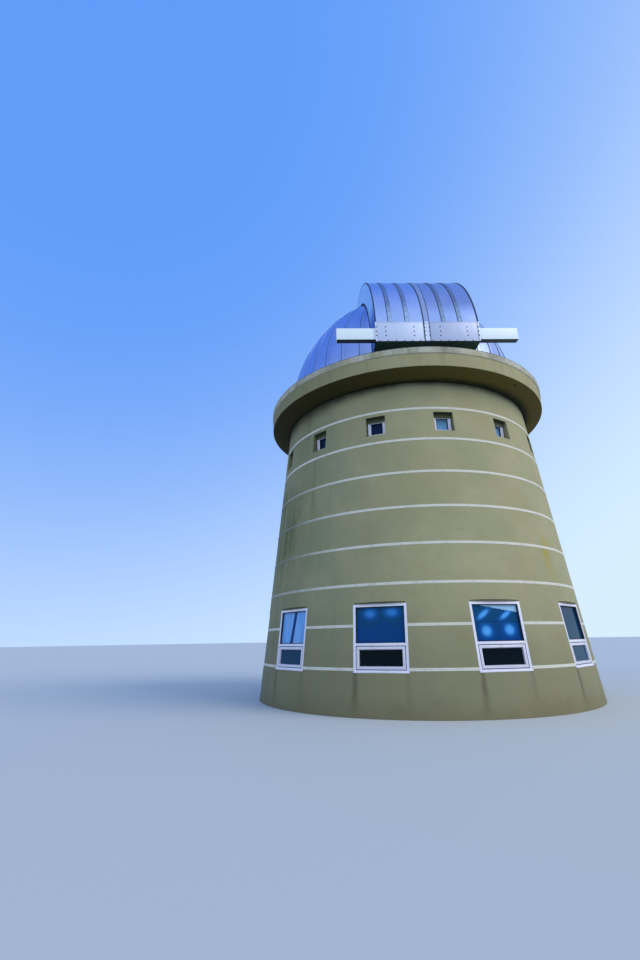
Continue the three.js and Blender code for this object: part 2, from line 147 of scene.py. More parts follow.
class Finish:
    """A material in the making: its nodes and its main shader."""

    def __init__(self, name, roughness=0.5, metallic=0.0, tone=None, holder=None):
        self.material = holder or bpy.data.materials.new(name)
        self.material.use_nodes = True
        self.tree = self.material.node_tree
        self.shader = self.tree.nodes.get("Principled BSDF")
        if self.shader:
            self.set(Roughness=roughness, Metallic=metallic)
        if tone:
            self.set(Base_Color=tone)

    def feed(self, socket, value):
        if isinstance(value, Value):
            self.tree.links.new(value.socket, socket)
        elif socket.type == "RGBA" and len(value) == 3:
            socket.default_value = colour(*value)
        else:
            socket.default_value = value

    def node(self, kind, settings=None, inputs=None, output=0):
        made = self.tree.nodes.new("ShaderNode" + kind)
        for name, setting in (settings or {}).items():
            setattr(made, name, setting)
        for name, value in (inputs or {}).items():
            self.feed(made.inputs[name], value)
        return Value(self, made.outputs[output])

    def set(self, **values):
        for name, value in values.items():
            self.feed(self.shader.inputs[name.replace("_", " ")], value)

    def place(self):
        return self.node("TexCoord", output="Object")

    def vector(self, x, y, z):
        return self.node("CombineXYZ", inputs={0: x, 1: y, 2: z})

    def bump(self, height):
        """Relief from a height in metres."""
        self.set(Normal=self.node("Bump", inputs={"Strength": 1.0, "Distance": 1.0, "Height": height}))


SKY_DEEP = (0.12, 0.34, 0.95, 1)
SKY_PALE = (0.68, 0.86, 1.05, 1)
SKY_AXIS = (-0.30, 0.45, 0.84)
KEY_AZIMUTH = 62
KEY_HEIGHT = 38
FLOOR_REACH = 400
FLOOR_DROP = 0.002

world = bpy.context.scene.world or bpy.data.worlds.new("studio")
bpy.context.scene.world = world
sky = Finish("studio", holder=world)
direction = sky.node("TexCoord", output="Generated")
depth = sky.node("VectorMath", {"operation": "DOT_PRODUCT"}, {0: direction, 1: SKY_AXIS}, output=1)
background = sky.tree.nodes["Background"]
sky.feed(background.inputs["Color"], depth.between(0.3, 1.0).mixed(SKY_PALE, SKY_DEEP))
background.inputs["Strength"].default_value = 1.0
bpy.context.scene.view_settings.view_transform = "Standard"

key = bpy.data.lights.new("key", "SUN")
key.energy = 1.4
key.angle = math.radians(40)
key.color = (1.0, 0.93, 0.80)
key_light = bpy.data.objects.new("key", key)
key_light.matrix_world = (
    Matrix.Rotation(math.radians(KEY_AZIMUTH), 4, "Z")
    @ Matrix.Rotation(math.radians(90 - KEY_HEIGHT), 4, "X"))
bpy.context.scene.collection.objects.link(key_light)


def smoothed(mesh, crease=30):
    """Smooth shading but for edges sharper than crease degrees."""
    mesh.shade_smooth()
    mesh.set_sharp_from_angle(angle=math.radians(crease))


def piece(name, shape, *finishes, crease=30):
    """A mesh object from a bmesh."""
    mesh = bpy.data.meshes.new(name)
    shape.to_mesh(mesh)
    shape.free()
    smoothed(mesh, crease)
    for finish in finishes:
        mesh.materials.append(finish.material)
    made = bpy.data.objects.new(name, mesh)
    bpy.context.scene.collection.objects.link(made)
    return made


pale = Finish("pale_floor", roughness=0.9, tone=(0.52, 0.53, 0.54, 1))
shape = bmesh.new()
bmesh.ops.create_circle(shape, cap_ends=True, radius=FLOOR_REACH, segments=96,
                        matrix=Matrix.Translation((0, 0, -FLOOR_DROP)))
piece("floor", shape, pale)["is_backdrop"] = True

# Tower wall: rendered masonry, 450 mm thick up to the observing floor and 400 mm above it, leaning in by
# six degrees. The khaki masonry paint has faded in patches, and is streaked below the sills and damp at the
# foot. Painted shade darkens its shaded side, its lower part, its top under the cornice and its window
# reveals, and a painted shadow line lies over each large window's head.
BATTER = 0.1047
WALL_LEAN = math.atan(BATTER)
LOWER_WALL = 0.45
UPPER_WALL = 0.40
INDOORS = 0.36
BASE_RADIUS = cad_high.x
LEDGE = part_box("lower_wall_1")[1].z
WALL_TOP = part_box("cornice")[0].z
WALL_STEPS = 240
FULL_TURN = 2 * math.pi
CUTTER_DEPTH = 1.3

LARGE_AZIMUTHS = [-155.6 + 33.3 * i for i in range(10)]
LARGE_WIDTH = 1.26
LARGE_SILL = 0.888
LARGE_HEAD = 2.373
SMALL_AZIMUTHS = [3.9 + 360 / 14 * i for i in range(14)]
SMALL_WIDTH = 0.53
SMALL_SILL = 6.744
SMALL_HEAD = 7.308

KHAKI = (161, 152, 114)
KHAKI_PALE = (170, 162, 125)
KHAKI_GREEN = (147, 149, 113)
KHAKI_DARK = (106, 96, 68)
RUN_MARK = (78, 72, 52)
MOSS_AND_SHADE = (84, 90, 64)
MOSS_DARK = (70, 84, 32)
OCHRE_STAIN = (168, 146, 48)
LOW_SHADE = (112, 108, 84)
REVEAL_SHADE = (30, 30, 14)
UNDER_EAVES_SHADE = (30, 32, 12)
PLASTER = (206, 204, 196)


def wall_radius(z):
    return BASE_RADIUS - BATTER * z


def wall_place(azimuth, z, lean=WALL_LEAN):
    """A frame on the wall's face: X along the wall, -Y out of it, Z up it."""
    turn = math.radians(azimuth)
    spot = wall_radius(z) * Vector((math.sin(turn), -math.cos(turn), 0)) + Vector((0, 0, z))
    return Matrix.Translation(spot) @ Matrix.Rotation(turn, 4, "Z") @ Matrix.Rotation(-lean, 4, "X")


def spun(points, angle, steps, axis=(0, 0, 1), centre=(0, 0, 0), closed=True, capped=False):
    """A line of points carried round an axis, with faces at its ends if capped."""
    shape = bmesh.new()
    corners = [shape.verts.new(point) for point in points]
    following = corners[1:] + corners[:1] if closed else corners[1:]
    line = corners + [shape.edges.new(pair) for pair in zip(corners, following)]
    if capped:
        line.append(shape.faces.new(corners))
    bmesh.ops.spin(shape, geom=line, cent=centre, axis=axis, dvec=(0, 0, 0), angle=angle,
                   steps=steps, use_merge=angle == FULL_TURN, use_duplicate=False)
    bmesh.ops.recalc_face_normals(shape, faces=shape.faces)
    return shape


def ring(profile):
    """A closed profile of (radius, height) points, spun once about the tower's axis."""
    return spun([(radius, 0, z) for radius, z in profile], FULL_TURN, WALL_STEPS)


def window_holes():
    """The boxes cut out of the wall: square to its face below, level above."""
    shape = bmesh.new()
    for azimuths, sill, head, width, lean in (
            (LARGE_AZIMUTHS, LARGE_SILL, LARGE_HEAD, LARGE_WIDTH, WALL_LEAN),
            (SMALL_AZIMUTHS, SMALL_SILL, SMALL_HEAD, SMALL_WIDTH, 0)):
        size = Matrix.Diagonal((width, CUTTER_DEPTH, head - sill, 1))
        for azimuth in azimuths:
            place = wall_place(azimuth, (sill + head) / 2, lean)
            bmesh.ops.create_cube(shape, size=1, matrix=place @ size)
    return shape


def cut_out(target, holes):
    """Takes the holes' volume out of the target's mesh."""
    tool = piece("window_holes", holes)
    cut = target.modifiers.new("windows", "BOOLEAN")
    cut.operation = "DIFFERENCE"
    cut.solver = "EXACT"
    cut.object = tool
    bpy.context.view_layer.update()
    finished = bpy.data.meshes.new_from_object(
        target.evaluated_get(bpy.context.evaluated_depsgraph_get()))
    target.modifiers.clear()
    target.data = finished
    smoothed(finished)
    bpy.data.objects.remove(tool)


def fitted(made, body, slot, *nodes):
    """The piece moves with its body and may stand for nodes, which are hidden. Its slot is not used."""
    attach(made, body)
    if nodes:
        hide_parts(*nodes)
    return made


def round_wall(finish):
    """Azimuth in degrees, radius, height, and a maker of vectors that wrap the
    wall's face, with a scale along the wall and one up it."""
    x, y, z = finish.place().parts()
    radius = (x * x + y * y) ** 0.5
    azimuth = x.angle_from(y * -1) * (180 / math.pi)
    across, back = x / radius * BASE_RADIUS, y / radius * BASE_RADIUS

    def wrapped(along=1, up=1):
        return finish.vector(across * along, back * along, z * up)
    return azimuth, radius, z, wrapped


def along_windows(azimuth):
    """Metres along the wall from the middle of the nearest large window."""
    step = LARGE_AZIMUTHS[1] - LARGE_AZIMUTHS[0]
    count = (azimuth - LARGE_AZIMUTHS[0]) / step
    nearest = (count.rounded() | 0) & (len(LARGE_AZIMUTHS) - 1)
    return (count - nearest) * (math.radians(step) * BASE_RADIUS)


def facing_away(azimuth, full, none):
    """1 on the shaded side, from one azimuth to the back and a little past it."""
    return (1 - azimuth.between(full, none)) | azimuth.between(120, 175)


def sill_runs(azimuth, z, offset):
    """Dirt washed down from the two ends of each large window's sill."""
    wobble = azimuth.finish.vector(azimuth * 0.4, 0, z * 2).noise(1) * 0.08 - 0.04
    away = abs(abs(offset + wobble) - LARGE_WIDTH / 2 + 0.03)
    fallen = LARGE_SILL - z
    line = 1 - (away / (1 + fallen * 1.6)).between(0.0, 0.075)
    drop = (1 - fallen.between(0.25, LARGE_SILL + 0.1)) * (fallen > 0)
    return line * drop * (0.3 + (offset < 0) * 0.7)


def layered(base, *coats):
    """A colour under coats of others, each after its share from 0 to 1."""
    for share, tone in coats:
        base = share.mixed(base, tone)
    return base


stucco = Finish("stucco", roughness=0.88)
azimuth, radius, z, wrapped = round_wall(stucco)
face = wrapped()
mottle = face.noise(0.45, 5, 0.6).between(0.35, 0.68)
trowel = wrapped(up=1.8).noise(2.6, 5, 0.65)
runs = wrapped(3.2, 0.22).noise(1, 5, 0.6)
shade_side = facing_away(azimuth, -60, -5)
patches = face.noise(0.8, 3).between(0.4, 0.62)
moss = face.noise(1.1, 6, 0.65).between(0.42, 0.66)
left_edge = azimuth.between(-170, -130) * (1 - azimuth.between(-66, -43))
growth = z.between(2.0, 5.0) * (1 - z.between(5.5, 6.2) * 0.8)
growth = left_edge * (0.25 + moss * 0.35 + runs.between(0.42, 0.6) * 0.4) * growth
# Painted shade: the wall darker and greyer towards the bottom.
low_shade = 1 - (z + face.noise(1.4, 4) * 0.6 - 0.3).between(0.3, 3.2)
foot = 1 - (z + face.noise(2.2, 4) * 0.5 - 0.25).between(-0.05, 0.5)
# Painted shade: the wall's top darkens under the cornice, lower down on the shaded side.
spread = WALL_TOP - 0.20 - shade_side * 0.42
eaves_shade = (z + face.noise(1.6, 4) * 0.16).between(spread, WALL_TOP + 0.10)
offset = along_windows(azimuth)
# Painted shadow: a bowed dark line on the wall over each large window's head.
over = (z > LARGE_HEAD) * ((z + offset * offset * 0.03) < LARGE_HEAD + 0.034)
over = over * (abs(offset) < LARGE_WIDTH / 2 + 0.015)
depth = BASE_RADIUS - (radius + z * BATTER)
under_head = (z > SMALL_HEAD - 0.004) | ((z > LARGE_HEAD - 0.004) * (z < LARGE_HEAD + 0.1))
stain = 1 - abs(azimuth + (z - 4.0) * 1.5 + patches * 2 - 37.5).between(0.3, 3.2)
stain = stain * (1 - abs(z - 3.5).between(0.25, 0.75))
wander = stucco.node("TexNoise", inputs={"Vector": face, "Scale": 1.2, "Detail": 4.0}, output=1)
wander = stucco.node("VectorMath", {"operation": "ADD"}, {0: face, 1: wander})
crack = stucco.node("TexVoronoi", {"feature": "DISTANCE_TO_EDGE"}, {"Vector": wander, "Scale": 0.4})
hairline = (1 - crack.between(0.0, 0.004)) * mottle.between(0.6, 0.95)
stucco.set(Base_Color=layered(
    mottle.mixed(KHAKI, KHAKI_PALE),
    # Painted shade: the green patches are stronger on the shaded side.
    (patches * (0.35 + shade_side * 0.4), KHAKI_GREEN),
    (trowel.between(0.45, 0.75) * 0.10, KHAKI_DARK),
    # Painted shade: a moss-green tone laid over the shaded side.
    ((runs.between(0.52, 0.78) * 0.3 + 0.34) * shade_side + 0.03, MOSS_AND_SHADE),
    (growth, MOSS_DARK),
    (low_shade * 0.62, LOW_SHADE),
    (foot * 0.5, KHAKI_DARK),
    (eaves_shade ** 1.6 * 0.95, UNDER_EAVES_SHADE),
    (sill_runs(azimuth, z, offset) * 0.62, RUN_MARK),
    (over * 0.85, REVEAL_SHADE),
    # Painted shade inside the window reveals, darkest under the heads.
    ((depth > 0.022) * (0.22 + under_head * 0.6), REVEAL_SHADE),
    (stain * (0.25 + trowel.between(0.3, 0.7) * 0.5), OCHRE_STAIN),
    (hairline * 0.25, KHAKI_DARK),
    (depth > INDOORS, PLASTER)))
stucco.bump(trowel * 0.008 + face.noise(55, 3) * 0.0020 - hairline * 0.001)

wall = piece("tower_wall", ring([
    (wall_radius(0), 0), (wall_radius(WALL_TOP), WALL_TOP),
    (wall_radius(WALL_TOP) - UPPER_WALL, WALL_TOP), (wall_radius(LEDGE) - UPPER_WALL, LEDGE),
    (wall_radius(LEDGE) - LOWER_WALL, LEDGE), (wall_radius(0) - LOWER_WALL, 0)]), stucco)
cut_out(wall, window_holes())
fitted(wall, "tower", "stucco", *(f"lower_wall_{i + 1}" for i in range(5)),
       *(f"upper_wall_{i + 1}" for i in range(7)))

# White bands: eight level string lines of smooth render, 65 mm high and a few
# millimetres proud, painted white. The lowest two stop at the large windows.
BAND_FIRST = 0.963
BAND_STEP = 0.9233
BAND_COUNT = 8
BAND_HEIGHT = 0.065
BAND_PROUD = 0.005
BAND_SOFT = BAND_PROUD * 0.8
BAND_SUNK = 0.012
BAND_WHITE = (214, 208, 196)
BAND_DIRT_AND_SHADE = (160, 156, 142)


def joined(*shapes):
    """One bmesh from several."""
    whole = bmesh.new()
    for shape in shapes:
        part = bpy.data.meshes.new("part")
        shape.to_mesh(part)
        shape.free()
        whole.from_mesh(part)
        bpy.data.meshes.remove(part)
    return whole


def band(low):
    """One band up from a height, its outer edges softened."""
    high = low + BAND_HEIGHT
    return ring([
        (wall_radius(low) - BAND_SUNK, low), (wall_radius(low) + BAND_PROUD - BAND_SOFT, low),
        (wall_radius(low + BAND_SOFT) + BAND_PROUD, low + BAND_SOFT),
        (wall_radius(high - BAND_SOFT) + BAND_PROUD, high - BAND_SOFT),
        (wall_radius(high) + BAND_PROUD - BAND_SOFT, high), (wall_radius(high) - BAND_SUNK, high)])


band_paint = Finish("band_paint", roughness=0.75)
azimuth, radius, z, wrapped = round_wall(band_paint)
worn = wrapped().noise(3.5, 6, 0.7).between(0.52, 0.72)
streaks = wrapped(5, 0.4).noise(1, 4).between(0.5, 0.8)
shade_side = facing_away(azimuth, -70, 10)
# Dirt and painted shade: the streaks darken more on the shaded side.
tone = (worn * 0.4 + streaks * (0.25 + shade_side * 0.5)).mixed(BAND_WHITE, BAND_DIRT_AND_SHADE)
overgrown = azimuth.between(-170, -130) * (1 - azimuth.between(-66, -28)) * z.between(1.6, 3.6)
overgrown = overgrown * (1 - z.between(5.2, 6.4)) * (0.8 + worn * 0.2)
band_paint.set(Base_Color=overgrown.mixed(tone, MOSS_AND_SHADE))
band_paint.bump(wrapped().noise(8, 4) * 0.004)

bands = joined(*(band(BAND_FIRST + BAND_STEP * i - BAND_HEIGHT / 2) for i in range(BAND_COUNT)))
white_bands = piece("white_bands", bands, band_paint)
cut_out(white_bands, window_holes())
fitted(white_bands, "tower", "stucco")

# Large windows: white plastic frames set in the reveal, a fixed light over the
# transom and a top-hung opening light under it, flush with the frame.
FRAME_BAR = 0.06
FRAME_DEPTH = 0.10
TRANSOM = 0.598
TRANSOM_LIP = 0.012
TRANSOM_STEP = 0.010
SASH_BAR = 0.056
SASH_JOINT = 0.016
SASH_BACK = 0.058
SASH_EDGE = 0.006
BEAD = 0.010
BEAD_FRONT = 0.014
LINER = 0.010
GROOVE = 0.026
PANE_FRONT = 0.055
PANE = 0.024
OPENING_PANE = 0.040
THIN_PANE = 0.016
FIT = 0.001
LAP = 0.001
SILL_PROUD = 0.022
SILL_BACK = 0.02
SILL_HEIGHT = 0.034
EDGE = 0.004
SHARP = math.radians(30)
WHITE_FRAME = (228, 224, 240)
GRIMY_FRAME = (168, 170, 160)


def bevelled(shape, edges, width, segments=2):
    bmesh.ops.bevel(shape, geom=edges, offset=width, offset_type="OFFSET", affect="EDGES",
                    segments=segments, profile=0.5, material=-1, clamp_overlap=True)


def block(low, high, edge=0.0, segments=2):
    """A box between two opposite corners, with its edges rounded."""
    low, high = Vector(low), Vector(high)
    shape = bmesh.new()
    size = Matrix.Diagonal((*(abs(span) for span in high - low), 1))
    bmesh.ops.create_cube(shape, size=1, matrix=Matrix.Translation((low + high) / 2) @ size)
    if edge:
        bevelled(shape, shape.edges[:], edge, segments)
    return shape


def pushed(shape, faces, along):
    """Carries faces along a vector and walls in the way they went."""
    made = bmesh.ops.extrude_face_region(shape, geom=faces)["geom"]
    corners = [item for item in made if isinstance(item, bmesh.types.BMVert)]
    bmesh.ops.translate(shape, vec=along, verts=corners)
    bmesh.ops.recalc_face_normals(shape, faces=shape.faces)


def frame_bars(half, low, high, bar, front, back, edge=EDGE):
    """A mitred rectangular frame in the XZ plane, its face towards -Y."""
    shape = bmesh.new()
    place = (Matrix.Translation((0, front, (low + high) / 2)) @ Matrix.Rotation(math.pi / 2, 4, "X")
             @ Matrix.Diagonal((2 * half, high - low, 1, 1)))
    bmesh.ops.create_grid(shape, x_segments=1, y_segments=1, size=0.5, matrix=place)
    middle = shape.faces[:]
    bars = bmesh.ops.inset_region(shape, faces=middle, thickness=bar, use_boundary=True,
                                  use_even_offset=True)["faces"]
    bmesh.ops.delete(shape, geom=middle, context="FACES_ONLY")
    pushed(shape, bars, (0, back - front, 0))
    bevelled(shape, [side for side in shape.edges if side.calc_face_angle(0) > SHARP], edge)
    return shape


def moved(pattern, place):
    """A copy of the pattern at a place."""
    shape = pattern.copy()
    shape.transform(place)
    return shape


def stamped(pattern, places):
    """One bmesh with a copy of the pattern at each place."""
    return joined(*(moved(pattern, place) for place in places))


white_plastic = Finish("white_plastic")
grime = white_plastic.place().noise(6, 5).between(0.5, 0.8)
white_plastic.set(Base_Color=(grime * 0.3).mixed(WHITE_FRAME, GRIMY_FRAME), Roughness=0.3 + grime * 0.25)
# Dark rubber: real seals, and also dark strips laid where gaps and recesses are in shade, as painted shade.
seal_rubber_and_shade = Finish("seal_rubber_and_shade", roughness=0.7, tone=(30, 32, 40))


def pane_glass(name, tones=None, low=0, high=1):
    """Double glazing under a faint film of dust. Its tones, if given, change
    from the low to the high edge of the pane."""
    finish = Finish(name)
    dust = finish.place().noise(14, 6, 0.7).between(0.5, 0.85)
    finish.set(Roughness=dust * 0.08 + 0.05, Specular_IOR_Level=0.06)
    if tones:
        finish.set(Base_Color=finish.place().parts()[2].between(low, high).mixed(*tones))
    return finish


def soft_spot(along, up, half_length, half_width, slope):
    """A soft slanted spot: 1 in its middle, 0 at its rim."""
    far = along / half_length
    off = (up - along * slope) / half_width
    return 1 - ((far * far + off * off) ** 0.5).between(0, 1)


# Across, height, half length, half width and slope of each painted reflection, a soft bright spot in an
# upper pane.
PAINTED_REFLECTIONS = {
    4: [(-0.25, 2.15, 0.30, 0.20, 0.0), (0.29, 2.17, 0.32, 0.20, 0.0)],
    5: [(-0.29, 1.73, 0.28, 0.25, 0.0), (0.31, 1.75, 0.28, 0.25, 0.0),
        (-0.31, 2.09, 0.34, 0.14, 0.55), (0.27, 2.07, 0.32, 0.13, 0.50)]}
REFLECTION_CORES = {4: 0.25, 5: 0.7}
UPPER_GLASS = {}
for i, lights in PAINTED_REFLECTIONS.items():
    reflection_glass = pane_glass("reflection_glass")
    azimuth, radius, z, wrapped = round_wall(reflection_glass)
    place = reflection_glass.place()
    along = along_windows(azimuth)
    murk = (z + place.noise(3.2, 3) * 0.5).between(1.8, 2.5)
    tone = murk.mixed((6, 64, 126), (16, 72, 112))
    for x, height, *form in lights:
        # Each spot is a painted reflection with a paler core.
        spot = soft_spot(along - x, z - height, *form)
        tone = (spot * 0.6).mixed(tone, (30, 120, 220))
        tone = (spot.between(0.35, 1.0) * REFLECTION_CORES[i]).mixed(tone, (96, 180, 250))
    if i == 5:
        # Painted reflection: a pale slanted ridge line across the pane.
        ridge = z + along * 0.152 - place.noise(16, 5) * 0.05
        tone = (ridge.between(2.185, 2.205) * 0.85).mixed(tone, (168, 208, 240))
        tone = ((abs(z - 1.925) < 0.009) * 0.5).mixed(tone, (2, 30, 66))
    reflection_glass.set(Base_Color=tone)
    UPPER_GLASS[i] = reflection_glass

curtain_glass = pane_glass("curtain_glass")
azimuth, radius, z, wrapped = round_wall(curtain_glass)
parting = abs(along_windows(azimuth) - (z - 1.94) * 0.18 + 0.01)
folds = wrapped(5, 0.8).noise(1, 3).between(0.35, 0.7)
curtain = folds.mixed((104, 158, 224), (130, 178, 234))
curtain_glass.set(Base_Color=(1 - parting.between(0.055, 0.085)).mixed(curtain, (14, 58, 116)))
UPPER_GLASS[3] = curtain_glass

teal_glass = pane_glass("teal_glass", [(16, 62, 92), (6, 48, 82)], 1.5, LARGE_HEAD)
dark_glass = pane_glass("dark_glass", [(4, 20, 30), (2, 14, 22)], LARGE_SILL, 1.5)
navy_glass = pane_glass("navy_glass", [(12, 40, 80), (8, 30, 58)], SMALL_SILL, SMALL_HEAD)
blind_glass = pane_glass("blind_glass", [(116, 170, 222), (96, 142, 172)],
                         SMALL_SILL + 0.1, SMALL_HEAD - 0.2)

large_height = LARGE_HEAD - LARGE_SILL
large_middle = (LARGE_SILL + LARGE_HEAD) / 2
setback = wall_radius(large_middle) - math.sqrt(wall_radius(large_middle) ** 2 - (LARGE_WIDTH / 2) ** 2)
half_width = LARGE_WIDTH / 2 - FIT
half_height = large_height / 2 - FIT
transom = TRANSOM - large_height / 2
inside = half_width - FRAME_BAR
light_low = transom + FRAME_BAR / 2
light_high = half_height - FRAME_BAR
sash_half = inside - SASH_JOINT
sash_low = FRAME_BAR + SASH_JOINT - half_height
sash_high = transom - FRAME_BAR / 2 - SASH_JOINT
opening_half = sash_half - SASH_BAR
opening_low = sash_low + SASH_BAR
opening_high = sash_high - SASH_BAR

window_frame = joined(
    frame_bars(half_width, -half_height, half_height, FRAME_BAR, 0, FRAME_DEPTH),
    block((-inside - EDGE, 0, transom - FRAME_BAR / 2),
          (inside + EDGE, FRAME_DEPTH, transom + TRANSOM_LIP), EDGE),
    block((-inside - EDGE, TRANSOM_STEP, transom), (inside + EDGE, FRAME_DEPTH, light_low), EDGE),
    block((-half_width, -SILL_PROUD, -half_height),
          (half_width, SILL_BACK, SILL_HEIGHT - half_height), SASH_EDGE))
window_sash = joined(
    frame_bars(sash_half, sash_low, sash_high, SASH_BAR, 0, SASH_BACK, SASH_EDGE),
    frame_bars(opening_half + EDGE, opening_low - EDGE, opening_high + EDGE, BEAD + EDGE, BEAD_FRONT,
               OPENING_PANE - LAP, 0.003))
# In order: the joint round the sash, the groove in its face, the opening pane's gasket, and the fixed
# light's liner and bead. All but the gasket are dark strips laid as painted shade where the gaps, groove
# and recess fall in shade.
window_seals_and_shade_liners = joined(
    frame_bars(inside + LAP, sash_low - SASH_JOINT - LAP, sash_high + SASH_JOINT + LAP,
               SASH_JOINT + 2 * LAP, 0.006, 0.03, LAP),
    frame_bars(sash_half - GROOVE, sash_low + GROOVE, sash_high - GROOVE, 0.004, -0.0006, 0.004, 0.0003),
    frame_bars(opening_half, opening_low, opening_high, 0.006, 0.010, 0.016, LAP),
    frame_bars(inside, light_low, light_high, LINER, 0.008, PANE_FRONT - LAP, LAP),
    frame_bars(inside, light_low, light_high, BEAD + LINER / 2, 0.040, PANE_FRONT - LAP, LAP))
fixed_pane = block((-inside, PANE_FRONT, light_low), (inside, PANE_FRONT + PANE, light_high))
opening_pane = block((-opening_half, OPENING_PANE, opening_low),
                     (opening_half, OPENING_PANE + THIN_PANE, opening_high))
for i, azimuth in enumerate(LARGE_AZIMUTHS):
    place = wall_place(azimuth, large_middle) @ Matrix.Translation((0, setback, 0))
    upper = UPPER_GLASS.get(i, teal_glass)
    lower = dark_glass if i in PAINTED_REFLECTIONS else teal_glass
    for part, pattern, finish, slot, *nodes in (
            ("frame", window_frame, white_plastic, "window_frame", f"large_window_{i + 1}"),
            ("sash", window_sash, white_plastic, "window_frame"),
            ("seals_and_shade_liners", window_seals_and_shade_liners, seal_rubber_and_shade, "window_frame"),
            ("fixed_pane", fixed_pane, upper, "window_glass"),
            ("opening_pane", opening_pane, lower, "window_glass")):
        fitted(piece(f"window_{part}_{i + 1}", moved(pattern, place), finish), "tower", slot, *nodes)

# Small windows: fixed white frames with one pane each, set 140 mm deep in level
# square holes through the upper wall and bedded round in dark mortar. Three
# have pale blinds drawn behind them.
SMALL_FRONT = 0.14
SMALL_DEPTH = 0.10
SMALL_BAR = 0.04
SMALL_SASH = 0.035
SMALL_STEP = 0.03
SMALL_PANE = 0.075
SMALL_PANE_THICK = 0.012
PANE_LAP = 0.02
UNIT_HALF = 0.235
UNIT_TOP = 7.172
BEDDING = 0.004
BEDDING_DEPTH = 0.04
LINTEL_BOARD = 0.014
UNDER_LINTEL = 0.065
SMALL_CILL = 0.085
CILL_PROUD = 0.004
HAIR = 0.0005

bedding_mortar = Finish("bedding_mortar", roughness=0.9)
rough = bedding_mortar.place().noise(18, 5)
height = bedding_mortar.place().parts()[2] + rough * 0.02
shade = height.between(UNIT_TOP + 0.03, SMALL_HEAD + 0.01)
bedding_mortar.set(Base_Color=shade.mixed((74, 78, 48), (44, 46, 28)))
bedding_mortar.bump(rough * 0.004)

small_middle = (SMALL_SILL + SMALL_HEAD) / 2
small_half = SMALL_WIDTH / 2 - FIT
small_high = (SMALL_HEAD - SMALL_SILL) / 2 - FIT
lintel_low = UNIT_TOP - small_middle
unit_high = lintel_low + UNDER_LINTEL
sash_side = UNIT_HALF - SMALL_BAR
sash_low = SMALL_BAR - small_high
sash_high = unit_high - SMALL_BAR
pane_front = SMALL_FRONT + SMALL_PANE
small_places = [wall_place(azimuth, small_middle, 0) for azimuth in SMALL_AZIMUTHS]

shape = joined(
    block((-small_half, SMALL_FRONT - LINTEL_BOARD, lintel_low),
          (small_half, SMALL_FRONT - HAIR, small_high)),
    *(block((side * small_half, SMALL_FRONT + BEDDING, -small_high),
            (side * UNIT_HALF, SMALL_FRONT + BEDDING_DEPTH, small_high)) for side in (-1, 1)))
fitted(piece("small_window_bedding", stamped(shape, small_places), bedding_mortar), "tower", "stucco")

# Painted shade: a dark liner round the inside of each sash, where the recess is in shade.
shape = frame_bars(sash_side - SMALL_SASH, sash_low + SMALL_SASH, sash_high - SMALL_SASH, LINER,
                   SMALL_FRONT + SMALL_STEP + 0.004, pane_front, LAP)
fitted(piece("small_window_shade_liners", stamped(shape, small_places), seal_rubber_and_shade), "tower", "window_frame")

small_frame = joined(
    frame_bars(UNIT_HALF, -small_high, unit_high, SMALL_BAR, SMALL_FRONT, SMALL_FRONT + SMALL_DEPTH),
    frame_bars(sash_side + EDGE, sash_low - EDGE, sash_high + EDGE, SMALL_SASH + EDGE,
               SMALL_FRONT + SMALL_STEP, SMALL_FRONT + SMALL_DEPTH - 0.01),
    block((0.004 - UNIT_HALF, SMALL_FRONT - CILL_PROUD, -small_high),
          (UNIT_HALF - 0.004, SMALL_FRONT + SMALL_STEP - HAIR, SMALL_CILL - small_high), EDGE))
small_pane = block((PANE_LAP - sash_side, pane_front, sash_low + PANE_LAP),
                   (sash_side - PANE_LAP, pane_front + SMALL_PANE_THICK, sash_high - PANE_LAP))
for i, place in enumerate(small_places):
    made = piece(f"small_window_frame_{i + 1}", moved(small_frame, place), white_plastic)
    fitted(made, "tower", "window_frame")
    glass = blind_glass if i in (0, 1, 7) else navy_glass
    made = piece(f"small_window_pane_{i + 1}", moved(small_pane, place), glass)
    fitted(made, "tower", "window_glass")
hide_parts("small_window_glass")

# Cornice: a concrete ring, rendered and painted like the wall, that stands out from it. Its soffit rises
# outwards; its dark tone is painted shade, darkest against the wall and on the shaded side.
CORNICE_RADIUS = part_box("cornice")[1].x
CORNICE_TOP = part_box("cornice")[1].z
CORNICE_EDGE = 8.41
RIM_INNER = 3.52
ARRIS = 0.008
SOFFIT_SHADE = (98, 84, 34)

soffit_paint = Finish("cornice_paint", roughness=0.88)
azimuth, radius, z, wrapped = round_wall(soffit_paint)
face = wrapped()
mottle = face.noise(0.7, 5, 0.6).between(0.35, 0.68)
trowel = face.noise(3.4, 5, 0.65)
runs = wrapped(4, 0.6).noise(1, 5, 0.65)
joint = abs((azimuth / 12).fraction() - 0.5) < 0.004
inner = wall_radius(WALL_TOP)
# Painted shade: the soffit darkest against the wall and on the shaded side.
soffit_shade = 1 - (radius + trowel * 0.1).between(inner + 0.06, inner + 0.36)
soffit_shade = soffit_shade | (facing_away(azimuth, -45, 35) * 0.72 + 0.05)
paint = layered(
    mottle.mixed(KHAKI, KHAKI_PALE),
    # Painted shade: the fascia greener on the shaded side.
    (facing_away(azimuth, -70, 10) * 0.5, MOSS_AND_SHADE),
    (runs.between(0.5, 0.75) * 0.35, KHAKI_DARK),
    (joint * 0.35, KHAKI_DARK),
    (z < CORNICE_EDGE - 0.001, soffit_shade.mixed(SOFFIT_SHADE, UNDER_EAVES_SHADE)))
soffit_paint.set(Base_Color=paint, Specular_IOR_Level=0.2)
soffit_paint.bump(trowel * 0.008 + face.noise(60, 3) * 0.002)

